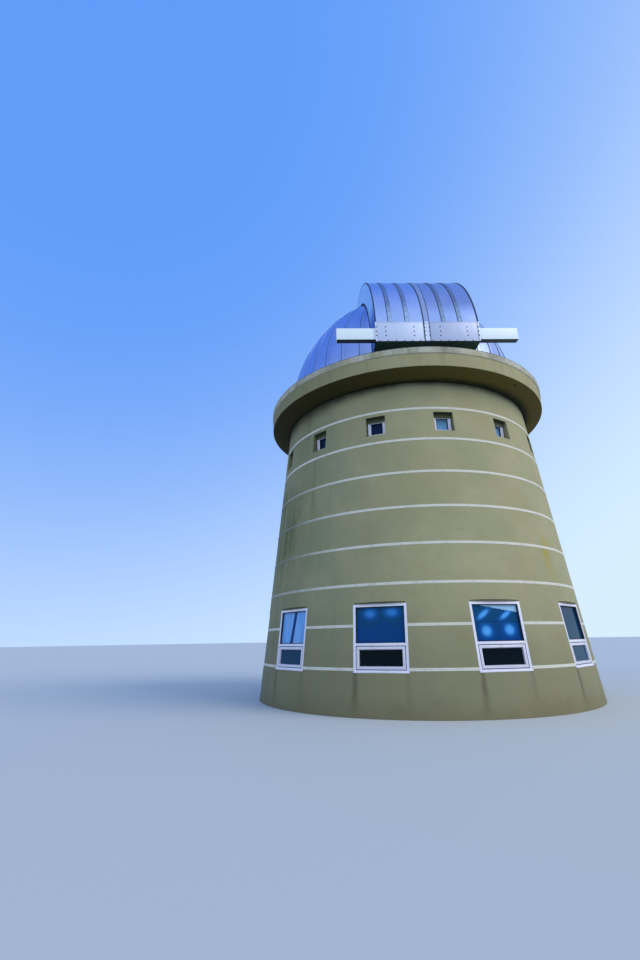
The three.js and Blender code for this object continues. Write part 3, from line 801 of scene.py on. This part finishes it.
cornice = ring([
    (RIM_INNER, WALL_TOP), (inner, WALL_TOP), (CORNICE_RADIUS - ARRIS, CORNICE_EDGE - 0.002),
    (CORNICE_RADIUS, CORNICE_EDGE + ARRIS), (CORNICE_RADIUS, CORNICE_TOP), (RIM_INNER, CORNICE_TOP)])
fitted(piece("cornice_ring", cornice, soffit_paint), "tower", "stucco", "cornice")

# Soffit drains: short dark outlets through the cornice's soffit near its edge.
DRAIN_AZIMUTHS = [36, 156, 276]
DRAIN_OUT = 0.17
DRAIN_RADIUS = 0.035
DRAIN_LENGTH = 0.08

black_pipe = Finish("black_pipe", roughness=0.6, tone=(20, 20, 18))
shape = bmesh.new()
for azimuth in DRAIN_AZIMUTHS:
    turn = math.radians(azimuth)
    out = CORNICE_RADIUS - DRAIN_OUT
    spot = Vector((math.sin(turn) * out, -math.cos(turn) * out, CORNICE_EDGE - 0.02))
    bmesh.ops.create_cone(shape, cap_ends=True, segments=16, radius1=DRAIN_RADIUS, radius2=DRAIN_RADIUS,
                          depth=DRAIN_LENGTH, matrix=Matrix.Translation(spot))
fitted(piece("soffit_drains", shape, black_pipe), "tower", "dark_panel")

# Coping: a weathered concrete capping on the cornice, cast in lengths, spotted
# with lichen and streaked where rain runs off it.
COPING_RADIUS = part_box("coping")[1].x
COPING_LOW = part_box("coping")[0].z
COPING_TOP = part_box("coping")[1].z
ROUNDED = 0.014
CONCRETE = (156, 152, 132)
CONCRETE_DARK = (100, 100, 84)
CONCRETE_PALE = (192, 186, 170)
LICHEN = (166, 154, 112)
SPOT = (80, 80, 78)
ARRIS_DARK = (38, 44, 50)

weathered = Finish("weathered_concrete", roughness=0.93)
azimuth, radius, z, wrapped = round_wall(weathered)
face = wrapped()
cloud = face.noise(1.3, 6, 0.65).between(0.35, 0.65)
drips = wrapped(5, 1.2).noise(1, 6, 0.7).between(0.5, 0.72)
drips = drips * (0.2 + (radius > COPING_RADIUS - 0.02) * 0.8)
spots = (1 - face.cells(9.0).between(0.1, 0.32)) * face.noise(2.2, 3).between(0.45, 0.6)
specks = (1 - face.cells(6.0).between(0.06, 0.16)) * face.noise(1.1).between(0.5, 0.62)
joint = abs((azimuth / 15).fraction() - 0.5) < 0.003
# A dark line along the top arris of the coping's face.
top_edge_line = (z + drips * 0.012).between(COPING_TOP - 0.030, COPING_TOP - 0.012)
weathered.set(Base_Color=layered(
    cloud.mixed(CONCRETE, CONCRETE_PALE),
    (drips * 0.62, CONCRETE_DARK),
    (face.noise(0.9, 5, 0.6).between(0.46, 0.62) * 0.6, LICHEN),
    (spots * 0.5, LICHEN),
    (specks * 0.7, SPOT),
    (joint * 0.5, SPOT),
    (top_edge_line * (radius > COPING_RADIUS - 0.012) * 0.85, ARRIS_DARK)))
weathered.bump(cloud * 0.006 + face.noise(34, 5, 0.7) * 0.006 - joint * 0.004)

coping = ring([
    (RIM_INNER, COPING_LOW), (COPING_RADIUS - ROUNDED, COPING_LOW), (COPING_RADIUS, COPING_LOW + ROUNDED),
    (COPING_RADIUS, COPING_TOP - ROUNDED), (COPING_RADIUS - ROUNDED * 0.3, COPING_TOP - ROUNDED * 0.3),
    (COPING_RADIUS - ROUNDED, COPING_TOP), (RIM_INNER, COPING_TOP)])
fitted(piece("coping_ring", coping, weathered), "tower", "concrete", "coping")


# Floors and the track: trowelled concrete slabs and a steel rail ring, kept as
# they are and given their finishes.
def dressed(finish, *nodes):
    """Gives CAD nodes that stay a finish."""
    for node in nodes:
        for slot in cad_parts[node].material_slots:
            slot.material = finish.material


trowelled = Finish("trowelled_concrete", roughness=0.75)
haze = trowelled.place().noise(1.6, 6, 0.6).between(0.35, 0.68)
trowelled.set(Base_Color=haze.mixed((128, 126, 118), (158, 156, 148)))
trowelled.bump(trowelled.place().noise(26, 3) * 0.001)
dressed(trowelled, "ground_floor_slab", "observing_floor")

bare_steel = Finish("painted_steel", metallic=0.6)
rubbed = bare_steel.place().noise(7, 5, 0.7).between(0.45, 0.7)
bare_steel.set(Base_Color=rubbed.mixed((96, 100, 106), (134, 138, 144)), Roughness=0.42 + rubbed * 0.2)
dressed(bare_steel, "dome_track", "rear_rail_bracket_left", "rear_rail_bracket_right")

# Dome: forty flat-rolled aluminium gores on a ribbed ring, each joint under a cover strip with a painted
# shadow line down one side, with a rubber hem over the coping.
GORE_COUNT = 40
GORE_STEP = 360 / GORE_COUNT
DOME_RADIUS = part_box("dome_ring")[1].x
DOME_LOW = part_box("dome_ring")[0].z
DOME_CENTRE = 9.36
HUB = Vector((0, 0, DOME_CENTRE))
DOME_SHELL = 0.06
ARC_STEPS = 30
SLIT_EDGE = 1.05
SLIT_END = math.radians(17.5)
SLIT_BACK = Vector((0, math.cos(SLIT_END), -math.sin(SLIT_END)))
SHEET = 0.004
RING_INNER = 3.58
RING_CLEAR = 0.003
RING_STEP = 0.03
TRACK_TOP = 9.05
RING_FLANGE = 0.06
AIR = 0.0003
COVER_HALF = 0.85
COVER_PROUD = 0.006
COVER_THICK = 0.016
COVER_END = 86
GORE_SHADOW_LINE = 0.30
HEM = 0.028
HEM_PROUD = 0.005


def sheet_metal(name, base, bright, dark, roughness, count=1, metallic=0.88, wave=0.010, fade=None):
    """Weathered aluminium sheet: dull cloudy oxide, faint runs and a change of
    tone from sheet to sheet, where count is the sheets round the dome. Fade is
    two heights, under which it has a third tone, with that tone."""
    finish = Finish(name, metallic=metallic)
    x, y, z = finish.place().parts()
    number = (x.angle_from(y * -1) / FULL_TURN * count).floored()
    tone = finish.node("TexWhiteNoise", {"noise_dimensions": "1D"}, {"W": number})
    cloud = finish.place().noise(0.9, 6, 0.6).between(0.3, 0.7)
    runs = finish.vector(x * 6, y * 6, z * 0.7).noise(1, 5, 0.65)
    skin = (cloud * 0.6 + tone * 0.4).mixed(base, bright)
    skin = (runs.between(0.5, 0.8) * 0.3).mixed(skin, dark)
    if fade:
        low, high, low_tone = fade
        skin = (1 - z.between(low, high)).mixed(skin, low_tone)
    finish.set(Base_Color=skin, Roughness=roughness - 0.05 + cloud * 0.1 + runs.between(0.4, 0.8) * 0.08)
    finish.bump(finish.place().noise(1.7, 1) * wave)
    return finish


# The blue in these aluminium tones, and in those of the shutters, cheeks and plates below, is partly
# painted reflection of a blue sky.
dome_sheet = sheet_metal("dome_sheet", (142, 160, 214), (166, 182, 234), (106, 124, 166), 0.34, GORE_COUNT)
cover_metal = sheet_metal("cover_metal", (146, 162, 214), (164, 180, 228), (116, 132, 176), 0.38)
# A dark colour for lines beside raised strips: painted shadow.
shadow_line_paint = Finish("shadow_line_paint", roughness=0.7, tone=(26, 34, 54))
lining = Finish("dome_lining", roughness=0.7, metallic=0.3)
lining.set(Base_Color=lining.place().noise(3, 4).between(0.4, 0.7).mixed((150, 154, 158), (172, 176, 180)))


def meridian(radius, azimuth=90.0, top=90.0):
    """Points up one meridian, from the springing line to an elevation in degrees."""
    turn = math.radians(azimuth)
    across = Vector((math.sin(turn), -math.cos(turn), 0))
    up = Vector((0, 0, 1))
    rises = [math.radians(top * i / ARC_STEPS) for i in range(ARC_STEPS + 1)]
    return [HUB + radius * (across * math.cos(rise) + up * math.sin(rise)) for rise in rises]


def open_sheet(points, angle, steps):
    """A line of points spun about the dome's axis."""
    shape = spun(points, angle, steps, closed=False)
    bmesh.ops.remove_doubles(shape, verts=shape.verts, dist=1e-4)
    return shape


def sliced(shape, point, normal, clear=False):
    """Cuts a shape along a plane, drops what is past it if clear, and returns the
    parts in the plane."""
    everything = shape.verts[:] + shape.edges[:] + shape.faces[:]
    return bmesh.ops.bisect_plane(shape, geom=everything, dist=1e-5, plane_co=point, plane_no=normal,
                                  clear_outer=clear)["geom_cut"]


def open_slit(shape):
    """Takes away the faces that lie in the slit."""
    for point, normal in (((SLIT_EDGE, 0, 0), (1, 0, 0)), ((-SLIT_EDGE, 0, 0), (1, 0, 0)),
                          (HUB, (0, 0, 1)), (HUB, SLIT_BACK)):
        sliced(shape, point, normal)
    gone = []
    for panel in shape.faces:
        centre = panel.calc_center_median() - HUB
        if abs(centre.x) < SLIT_EDGE and centre.z > 0 and centre.dot(SLIT_BACK) < 0:
            gone.append(panel)
    bmesh.ops.delete(shape, geom=gone, context="FACES")


def sheeting(shape, thickness, slit=True):
    """Turns an open sheet's faces out of the dome, opens the slit in it and gives
    it thickness, inwards."""
    inside_dome = HUB - Vector((0, 0, 0.5))
    for panel in shape.faces:
        panel.normal_update()
        if panel.normal.dot(panel.calc_center_median() - inside_dome) < 0:
            panel.normal_flip()
    if slit:
        open_slit(shape)
    bmesh.ops.solidify(shape, geom=shape.faces[:], thickness=thickness)
    bmesh.ops.recalc_face_normals(shape, faces=shape.faces)
    return shape


gores = sheeting(open_sheet(meridian(DOME_RADIUS), FULL_TURN, GORE_COUNT), DOME_SHELL)
for panel in gores.faces:
    if panel.normal.dot(panel.calc_center_median() - HUB) < 0:
        panel.material_index = 1
fitted(piece("dome_gores", gores, dome_sheet, lining, crease=4), "dome", "dome_sheet",
       "dome_shell_left_front", "dome_shell_left_rear", "dome_shell_right_front",
       "dome_shell_right_rear", "dome_shell_back")

skirt = [(DOME_RADIUS, 0, DOME_LOW), (DOME_RADIUS, 0, DOME_CENTRE - 0.006)]
skirt = sheeting(open_sheet(skirt, FULL_TURN, GORE_COUNT), SHEET, slit=False)
fitted(piece("dome_skirt", skirt, dome_sheet, crease=4), "dome", "dome_sheet")

ring_face = DOME_RADIUS * math.cos(math.radians(GORE_STEP / 2)) - SHEET - RING_CLEAR
shell_inner = DOME_RADIUS - DOME_SHELL
turning_ring = ring([
    (RING_INNER, TRACK_TOP + AIR), (ring_face - RING_STEP, TRACK_TOP + AIR),
    (ring_face - RING_STEP, DOME_LOW), (ring_face, DOME_LOW),
    (ring_face, DOME_CENTRE - AIR), (shell_inner, DOME_CENTRE - AIR),
    (shell_inner, TRACK_TOP + RING_FLANGE), (RING_INNER, TRACK_TOP + RING_FLANGE)])
fitted(piece("turning_ring", turning_ring, bare_steel), "dome", "steel", "dome_ring")


def gore_strips(name, finish, azimuth, width, proud, thickness):
    """A narrow strip up the dome at every gore joint, from the hem to the slit."""
    radius = DOME_RADIUS + proud
    turn = math.radians(azimuth)
    hem = Vector((math.sin(turn) * radius, -math.cos(turn) * radius, DOME_LOW))
    strip = open_sheet([hem, *meridian(radius, azimuth, COVER_END)], math.radians(width), 2)
    turns = [Matrix.Rotation(math.radians(GORE_STEP * i), 4, "Z") for i in range(GORE_COUNT)]
    strips = sheeting(stamped(strip, turns), thickness)
    fitted(piece(name, strips, finish, crease=25), "dome", "dome_sheet")


gore_strips("gore_covers", cover_metal, -COVER_HALF, 2 * COVER_HALF, COVER_PROUD, COVER_THICK)
# Painted shadow: a dark line down one side of each cover.
gore_strips("gore_shadow_lines", shadow_line_paint, -COVER_HALF - GORE_SHADOW_LINE, GORE_SHADOW_LINE + 0.02,
            COVER_PROUD * 0.6, COVER_THICK * 0.8)

hem = ring([(DOME_RADIUS - SHEET, DOME_LOW), (DOME_RADIUS + HEM_PROUD, DOME_LOW),
            (DOME_RADIUS + HEM_PROUD, DOME_LOW + HEM), (DOME_RADIUS - SHEET, DOME_LOW + HEM)])
fitted(piece("rubber_hem", hem, seal_rubber_and_shade), "dome", "dark_panel")

# Slit: aluminium coaming plates up both edges and a curb across the rear end,
# kept as they are.
dressed(cover_metal, "slit_frame_left", "slit_frame_right", "slit_head")

# Rails: white-painted steel box beams that carry the shutters, one on edge in
# front of the slit and one lying behind it, with capped ends.
rail_low, rail_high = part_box("front_rail")
rail_half = rail_high.x
rail_broad = rail_high.z - rail_low.z
rail_thick = rail_high.y - rail_low.y
RAIL_WHITE = (236, 244, 248)
SLEEVES = (-1.62, 1.505)
SLEEVE_WIDTH = 0.012
REAR_ANGLE = math.radians(21.2)
REAR_INNER = 3.852
REAR_PLACE = Matrix.Translation(HUB) @ Matrix.Rotation(-REAR_ANGLE, 4, "X")

rail_paint = Finish("rail_paint")
x, y, z = rail_paint.place().parts()
spoiled = rail_paint.vector(x, y * 4, z * 4).noise(2.5, 6, 0.7).between(0.5, 0.8)
below = 1 - z.between(rail_low.z + 0.001, rail_low.z + 0.008)
keyline = 1 - abs(y - (rail_low.y + rail_high.y) / 2).between(0.004, 0.012)
tone = (spoiled * 0.2).mixed(RAIL_WHITE, (186, 196, 206))
shadow = (keyline * 0.5).mixed((8, 30, 26), (60, 84, 84))
rail_paint.set(Base_Color=below.mixed(tone, shadow), Roughness=0.35 + spoiled * 0.2)
rail_paint.bump(rail_paint.place().noise(20) * 0.0006)

beam = joined(
    block(rail_low, rail_high, 0.014, 3),
    *(block((x - SLEEVE_WIDTH / 2, rail_low.y - 0.003, rail_low.z - 0.002),
            (x + SLEEVE_WIDTH / 2, rail_high.y - 0.01, rail_high.z - 0.001), 0.002) for x in SLEEVES))
fitted(piece("front_rail_beam", beam, rail_paint), "dome", "rail_paint", "front_rail")
beam = block((-rail_half, -rail_broad / 2, REAR_INNER),
             (rail_half, rail_broad / 2, REAR_INNER + rail_thick), 0.012, 3)
fitted(piece("rear_rail_beam", moved(beam, REAR_PLACE), rail_paint), "dome", "rail_paint", "rear_rail")

# Shutters: two curved halves of rolled aluminium sheet on bent ribs. Riveted strips cover the sheet joints,
# with painted shadow lines down both sides of each, and rubber edges each half.
BARREL = Vector((0, -0.3, 9.317))
BARREL_RADIUS = 4.08
SKIN = 0.03
SHUTTER_HALF = 1.443
MEETING = 0.0025
PLATE_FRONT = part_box("shutter_right_front_plate")[0].y
PLATE_LOW, PLATE_TOP = (corner.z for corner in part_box("shutter_right_front_plate"))
SKIN_STEPS = 72
REAR_WEB = -0.2188
JOINT_COVERS = {"left": (-1.02, -0.541), "right": (0.475, 0.935)}
JOINT_HALF = 0.052
JOINT_PROUD = 0.010
JOINT_SHADOW_LINE = 0.016
TRIM = 0.034
TRIM_PROUD = 0.013
RIVET_FIRST = 0.176
RIVET_STEP = 0.24
RIVET_RADIUS = 0.018
RIVET_PROUD = 0.0036
SIDES = (("left", -1), ("right", 1))

skin_start = math.asin((PLATE_TOP + AIR - BARREL.z) / BARREL_RADIUS)
skin_sweep = math.pi / 2 + REAR_ANGLE + math.radians(4) - skin_start
rivet_count = int(BARREL_RADIUS * skin_sweep / RIVET_STEP) - 2


def barrel_point(x, radius, angle):
    """A point over the shutters' axle line, angle counted up from the front."""
    return BARREL + Vector((x, -radius * math.cos(angle), radius * math.sin(angle)))


def swept(section):
    """A closed section of (x, radius) points carried over the barrel and cut off
    square at the rear web."""
    shape = spun([barrel_point(x, radius, skin_start) for x, radius in section], -skin_sweep, SKIN_STEPS,
                 axis=(1, 0, 0), centre=BARREL, capped=True)
    backwards = REAR_PLACE.to_3x3() @ Vector((0, 1, 0))
    made = sliced(shape, REAR_PLACE @ Vector((0, REAR_WEB, 0)), backwards, clear=True)
    rim = [item for item in made if isinstance(item, bmesh.types.BMEdge)]
    bmesh.ops.holes_fill(shape, edges=rim, sides=0)
    bmesh.ops.recalc_face_normals(shape, faces=shape.faces)
    return shape


def swept_slab(x0, x1, inner, outer, base=BARREL_RADIUS):
    """A slab over the barrel between two depths from its face, or from a base."""
    return swept([(x0, base + inner), (x1, base + inner), (x1, base + outer), (x0, base + outer)])


def rivet(radius, proud):
    """A low round head with its base on the XY plane, up +Z."""
    shape = bmesh.new()
    bmesh.ops.create_cone(shape, cap_ends=True, segments=10, radius1=radius, radius2=radius * 0.55,
                          depth=proud, matrix=Matrix.Translation((0, 0, proud / 2)))
    return shape


def on_barrel(x, radius, angle):
    """A frame on the barrel whose Z points out of it."""
    return Matrix.Translation(barrel_point(x, radius, angle)) @ Matrix.Rotation(math.pi / 2 - angle, 4, "X")


# Painted reflection: each sheet lighter towards its foot, and the two halves in different tones as painted
# light.
shutter_sheets = {
    "left": sheet_metal("left_sheet", (130, 150, 208), (158, 172, 226), (100, 118, 162), 0.28,
                        fade=(10.8, 12.4, (166, 184, 236))),
    "right": sheet_metal("right_sheet", (126, 145, 198), (152, 167, 218), (94, 112, 150), 0.30,
                         fade=(10.2, 10.8, (156, 176, 232)))}
# Painted reflection: the covers lighter towards their foot, the right ones painted darker than the left.
joint_metals = {
    "left": sheet_metal("left_joint_metal", (114, 132, 174), (134, 150, 192), (86, 102, 136), 0.4,
                        fade=(10.2, 10.75, (156, 179, 214))),
    "right": sheet_metal("right_joint_metal", (96, 114, 152), (114, 130, 170), (78, 92, 124), 0.4,
                         fade=(10.3, 10.95, (130, 150, 184)))}
rivet_metal = Finish("rivet_metal", roughness=0.7, tone=(20, 28, 46))
# Dark rubber, also laid as strips that stand in for shadow.
trim_rubber_and_shadow = Finish("trim_rubber_and_shadow", roughness=0.65)
faded = trim_rubber_and_shadow.place().noise(5, 5).between(0.45, 0.75)
trim_rubber_and_shadow.set(Base_Color=faded.mixed((16, 28, 54), (36, 52, 88)))

for side, sign in SIDES:
    body = f"shutter_{side}"
    outer = sign * SHUTTER_HALF
    skin = swept_slab(sign * MEETING, outer, -SKIN, 0)
    fitted(piece(f"{body}_sheet", skin, shutter_sheets[side]), body, "dome_sheet", f"{body}_skin")

    strips = []
    shadow_lines = []
    rivets = []
    for x in JOINT_COVERS[side]:
        left, right = x - JOINT_HALF, x + JOINT_HALF
        strips.append(swept_slab(left, right, -0.003, JOINT_PROUD))
        # Painted shadow: dark lines down both sides of each cover.
        shadow_lines.append(swept_slab(left - JOINT_SHADOW_LINE, left, -0.002, JOINT_PROUD * 0.7))
        shadow_lines.append(swept_slab(right, right + JOINT_SHADOW_LINE * 0.4, -0.002, JOINT_PROUD * 0.5))
        for i in range(rivet_count):
            angle = skin_start + (RIVET_FIRST + RIVET_STEP * i) / BARREL_RADIUS
            rivets.append(on_barrel(x, BARREL_RADIUS + JOINT_PROUD, angle))
    fitted(piece(f"{body}_joint_covers", joined(*strips), joint_metals[side]), body, "dome_sheet")
    fitted(piece(f"{body}_joint_shadow_lines", joined(*shadow_lines), shadow_line_paint), body, "dome_sheet")
    rivets = stamped(rivet(RIVET_RADIUS, RIVET_PROUD), rivets)
    fitted(piece(f"{body}_rivets", rivets, rivet_metal), body, "steel")

    trim = swept_slab(outer - sign * TRIM, outer, -0.004, TRIM_PROUD)
    fitted(piece(f"{body}_edge_trim", trim, trim_rubber_and_shadow), body, "dark_panel")

# Cheeks: flat aluminium sheets that close the outer ends of the shutters, with
# a lapped joint along the middle and a brush seal against the dome.
LAP_RADIUS = 3.86
LAP_WIDTH = 0.026
LAP_PROUD = 0.004
BRUSH_INNER = 3.576
BRUSH_HEIGHT = 0.045
BRUSH_PROUD = 0.018
BRUSH_SWEEP = math.radians(104)
BRUSH_STEPS = 60

# Painted shade: the cheeks darker towards their foot.
cheek_sheet = sheet_metal("cheek_sheet", (170, 206, 250), (184, 216, 252), (140, 176, 226), 0.45,
                          metallic=0.4, wave=0.004, fade=(10.0, 11.0, (74, 108, 192)))
# Painted shade: the brush near-black towards its top, dome blue lower down.
brush = Finish("brush_seal", roughness=0.9)
brush.set(Base_Color=brush.place().parts()[2].between(10.7, 11.3).mixed((52, 70, 122), (14, 14, 34)))
dressed(cheek_sheet, "shutter_left_cheek", "shutter_right_cheek")
for side, sign in SIDES:
    body = f"shutter_{side}"
    inner = sign * (SHUTTER_HALF - 0.001)
    lap = swept_slab(inner, sign * (SHUTTER_HALF + LAP_PROUD), 0, LAP_WIDTH, LAP_RADIUS)
    fitted(piece(f"{body}_cheek_lap", lap, cheek_sheet), body, "dome_sheet")
    outer = sign * (SHUTTER_HALF + BRUSH_PROUD)
    tip = BRUSH_INNER + BRUSH_HEIGHT
    section = [(inner, BRUSH_INNER), (outer, BRUSH_INNER), (outer, tip), (inner, tip)]
    seal = spun([(x, -radius, DOME_CENTRE) for x, radius in section], -BRUSH_SWEEP, BRUSH_STEPS,
                axis=(1, 0, 0), centre=HUB, capped=True)
    fitted(piece(f"{body}_brush", seal, brush), body, "dark_panel")

# Front plates: brighter flat aluminium sheets below the curved skins, with a
# folded ledge along the top, a hem, and columns of bolts into the ribs.
BOLT_RADIUS = 0.021
BOLT_PROUD = 0.007
BOLT_RISE = 0.137
BOLT_TOP = 0.17
BOLT_COLUMNS = {"left": (-1.415, -1.158, -0.374), "right": (0.356, 1.103, 1.415)}
LEDGE_HEIGHT = 0.016
LEDGE_PROUD = 0.004
LOW_HEM = 0.02
LOW_HEM_PROUD = 0.003
HEM_PIN_STEP = 0.223
EDGE_STRIP = 0.04
PIN_RADIUS = 0.018
PIN_PROUD = 0.006


def forwards(x, y, z):
    """A frame on the front plates whose Z points out of them."""
    return Matrix.Translation((x, y, z)) @ Matrix.Rotation(math.pi / 2, 4, "X")


# Painted light: the left plate painted lighter than the right.
plate_metals = {
    "left": sheet_metal("left_plate_metal", (192, 202, 228), (204, 212, 238), (168, 178, 204), 0.5,
                        metallic=0.45, wave=0.0),
    "right": sheet_metal("right_plate_metal", (174, 183, 212), (190, 196, 224), (148, 158, 190), 0.5,
                         metallic=0.45, wave=0.0)}
edge_metal = sheet_metal("edge_metal", (210, 216, 238), (220, 226, 246), (184, 192, 218), 0.45,
                         metallic=0.4, wave=0.0)
for side, sign in SIDES:
    body = f"shutter_{side}"
    low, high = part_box(f"{body}_front_plate")
    outer = low.x if sign < 0 else high.x
    inner = outer - sign * EDGE_STRIP
    ledge = high.z - LEDGE_HEIGHT
    plate = joined(
        block(low, high, 0.003),
        block((low.x, low.y - LOW_HEM_PROUD, low.z), (high.x, low.y + 0.004, low.z + LOW_HEM), 0.001),
        block((low.x, low.y - LEDGE_PROUD, ledge), (high.x, low.y + 0.004, high.z), 0.002))
    fitted(piece(f"{body}_plate", plate, plate_metals[side]), body, "shutter_plate", f"{body}_front_plate")

    edges = block((inner, low.y - LEDGE_PROUD, low.z), (outer, low.y + 0.004, ledge), 0.001)
    fitted(piece(f"{body}_plate_edges", edges, edge_metal), body, "shutter_plate")

    # Painted shadow: a dark line down the inner side of the edge strip.
    plate_shadow = block((inner - sign * 0.008, low.y - 0.002, low.z), (inner, low.y + 0.002, ledge))
    fitted(piece(f"{body}_plate_shadow_line", plate_shadow, shadow_line_paint), body, "shutter_plate")

    bolts = []
    for x in BOLT_COLUMNS[side]:
        front = low.y - (LEDGE_PROUD if abs(x - outer) < EDGE_STRIP else 0)
        bolts += [forwards(x, front, high.z - BOLT_TOP - BOLT_RISE * row) for row in range(3)]
    pins = [forwards(low.x + (i + 0.5) * HEM_PIN_STEP, low.y - LOW_HEM_PROUD, low.z + 0.008)
            for i in range(int((high.x - low.x) / HEM_PIN_STEP))]
    heads = joined(stamped(rivet(BOLT_RADIUS, BOLT_PROUD), bolts),
                   stamped(rivet(PIN_RADIUS, PIN_PROUD), pins))
    fitted(piece(f"{body}_bolts", heads, rivet_metal), body, "steel")

# Undersides: dark painted steel panels, and the carriages that carry each half
# on its rails, kept as they are.
dark_paint = Finish("dark_paint", roughness=0.6, metallic=0.2)
dulled = dark_paint.place().noise(4, 5).between(0.4, 0.7)
dark_paint.set(Base_Color=dulled.mixed((30, 58, 44), (52, 70, 50)))
for side, _ in SIDES:
    dressed(dark_paint, f"shutter_{side}_bottom_panel", f"shutter_{side}_rear_carriage")
    dressed(bare_steel, f"shutter_{side}_front_carriage")

# Cover strip: a pale folded aluminium strip over the line where the halves meet, riveted to the left one,
# with dark strips down its left edge and beside its lip as painted shadow.
STRIP_LEFT = -0.078
STRIP_RIGHT = 0.05
STRIP_PROUD = 0.014
STRIP_CLEAR = 0.006
SHADOW_STRIP_WIDTH = 0.026
SHADOW_STRIP_PROUD = 0.008
LIP_SHADOW_STRIP = 0.022
LIP_PROUD = 0.012
STOP_WIDTH = 0.05
STOP_DEPTH = 0.014
STRIP_BOLT_XS = (-0.066, 0.036)
STRIP_BOLT_TOP = 0.06
STRIP_BOLT_STEP = 0.13

# Painted reflection: the strip lighter where it runs down the front plate.
strip_metal = sheet_metal("strip_metal", (134, 150, 196), (154, 168, 210), (100, 116, 154), 0.36,
                          metallic=0.6, fade=(PLATE_TOP - 0.03, PLATE_TOP + 0.02, (204, 212, 238)))


def draped(section):
    """A section of (x, depth) points carried over the barrel and straight down the
    front plate."""
    drop = bmesh.new()
    foot = drop.faces.new([drop.verts.new((x, PLATE_FRONT - depth, PLATE_LOW)) for x, depth in section])
    pushed(drop, [foot], (0, 0, PLATE_TOP + AIR - PLATE_LOW))
    return joined(swept([(x, BARREL_RADIUS + depth) for x, depth in section]), drop)


def draped_slab(x0, x1, inner, outer):
    return draped([(x0, inner), (x0, outer), (x1, outer), (x1, inner)])


strip = draped([
    (STRIP_LEFT, AIR), (STRIP_LEFT, STRIP_PROUD), (STRIP_RIGHT, STRIP_PROUD), (STRIP_RIGHT, STRIP_CLEAR),
    (AIR - MEETING, STRIP_CLEAR), (AIR - MEETING, AIR)])
fitted(piece("centre_cover_strip", strip, strip_metal), "shutter_left", "shutter_plate",
       "shutter_left_cover_strip", "shutter_left_cover_lip")
# Painted shadow: dark strips down the strip's left edge and beside its lip.
seal = joined(
    draped_slab(STRIP_LEFT - SHADOW_STRIP_WIDTH, STRIP_LEFT, 0, SHADOW_STRIP_PROUD),
    draped_slab(STRIP_RIGHT, STRIP_RIGHT + LIP_SHADOW_STRIP, STRIP_CLEAR, LIP_PROUD))
fitted(piece("centre_shadow_strips", seal, trim_rubber_and_shadow), "shutter_left", "dark_panel")
spots = [forwards(x, PLATE_FRONT - STRIP_PROUD, PLATE_TOP - STRIP_BOLT_TOP - STRIP_BOLT_STEP * i)
         for x in STRIP_BOLT_XS for i in range(4)]
bolts = stamped(rivet(0.015, 0.005), spots)
fitted(piece("centre_strip_bolts", bolts, rivet_metal), "shutter_left", "steel")

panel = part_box("shutter_left_bottom_panel")[0]
stop = block((-STOP_WIDTH - MEETING, panel.y, panel.z - STOP_DEPTH),
             (-MEETING, -DOME_RADIUS - 0.02, panel.z - AIR), 0.004)
fitted(piece("centre_bottom_seal", stop, trim_rubber_and_shadow), "shutter_left", "dark_panel")

low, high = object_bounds()
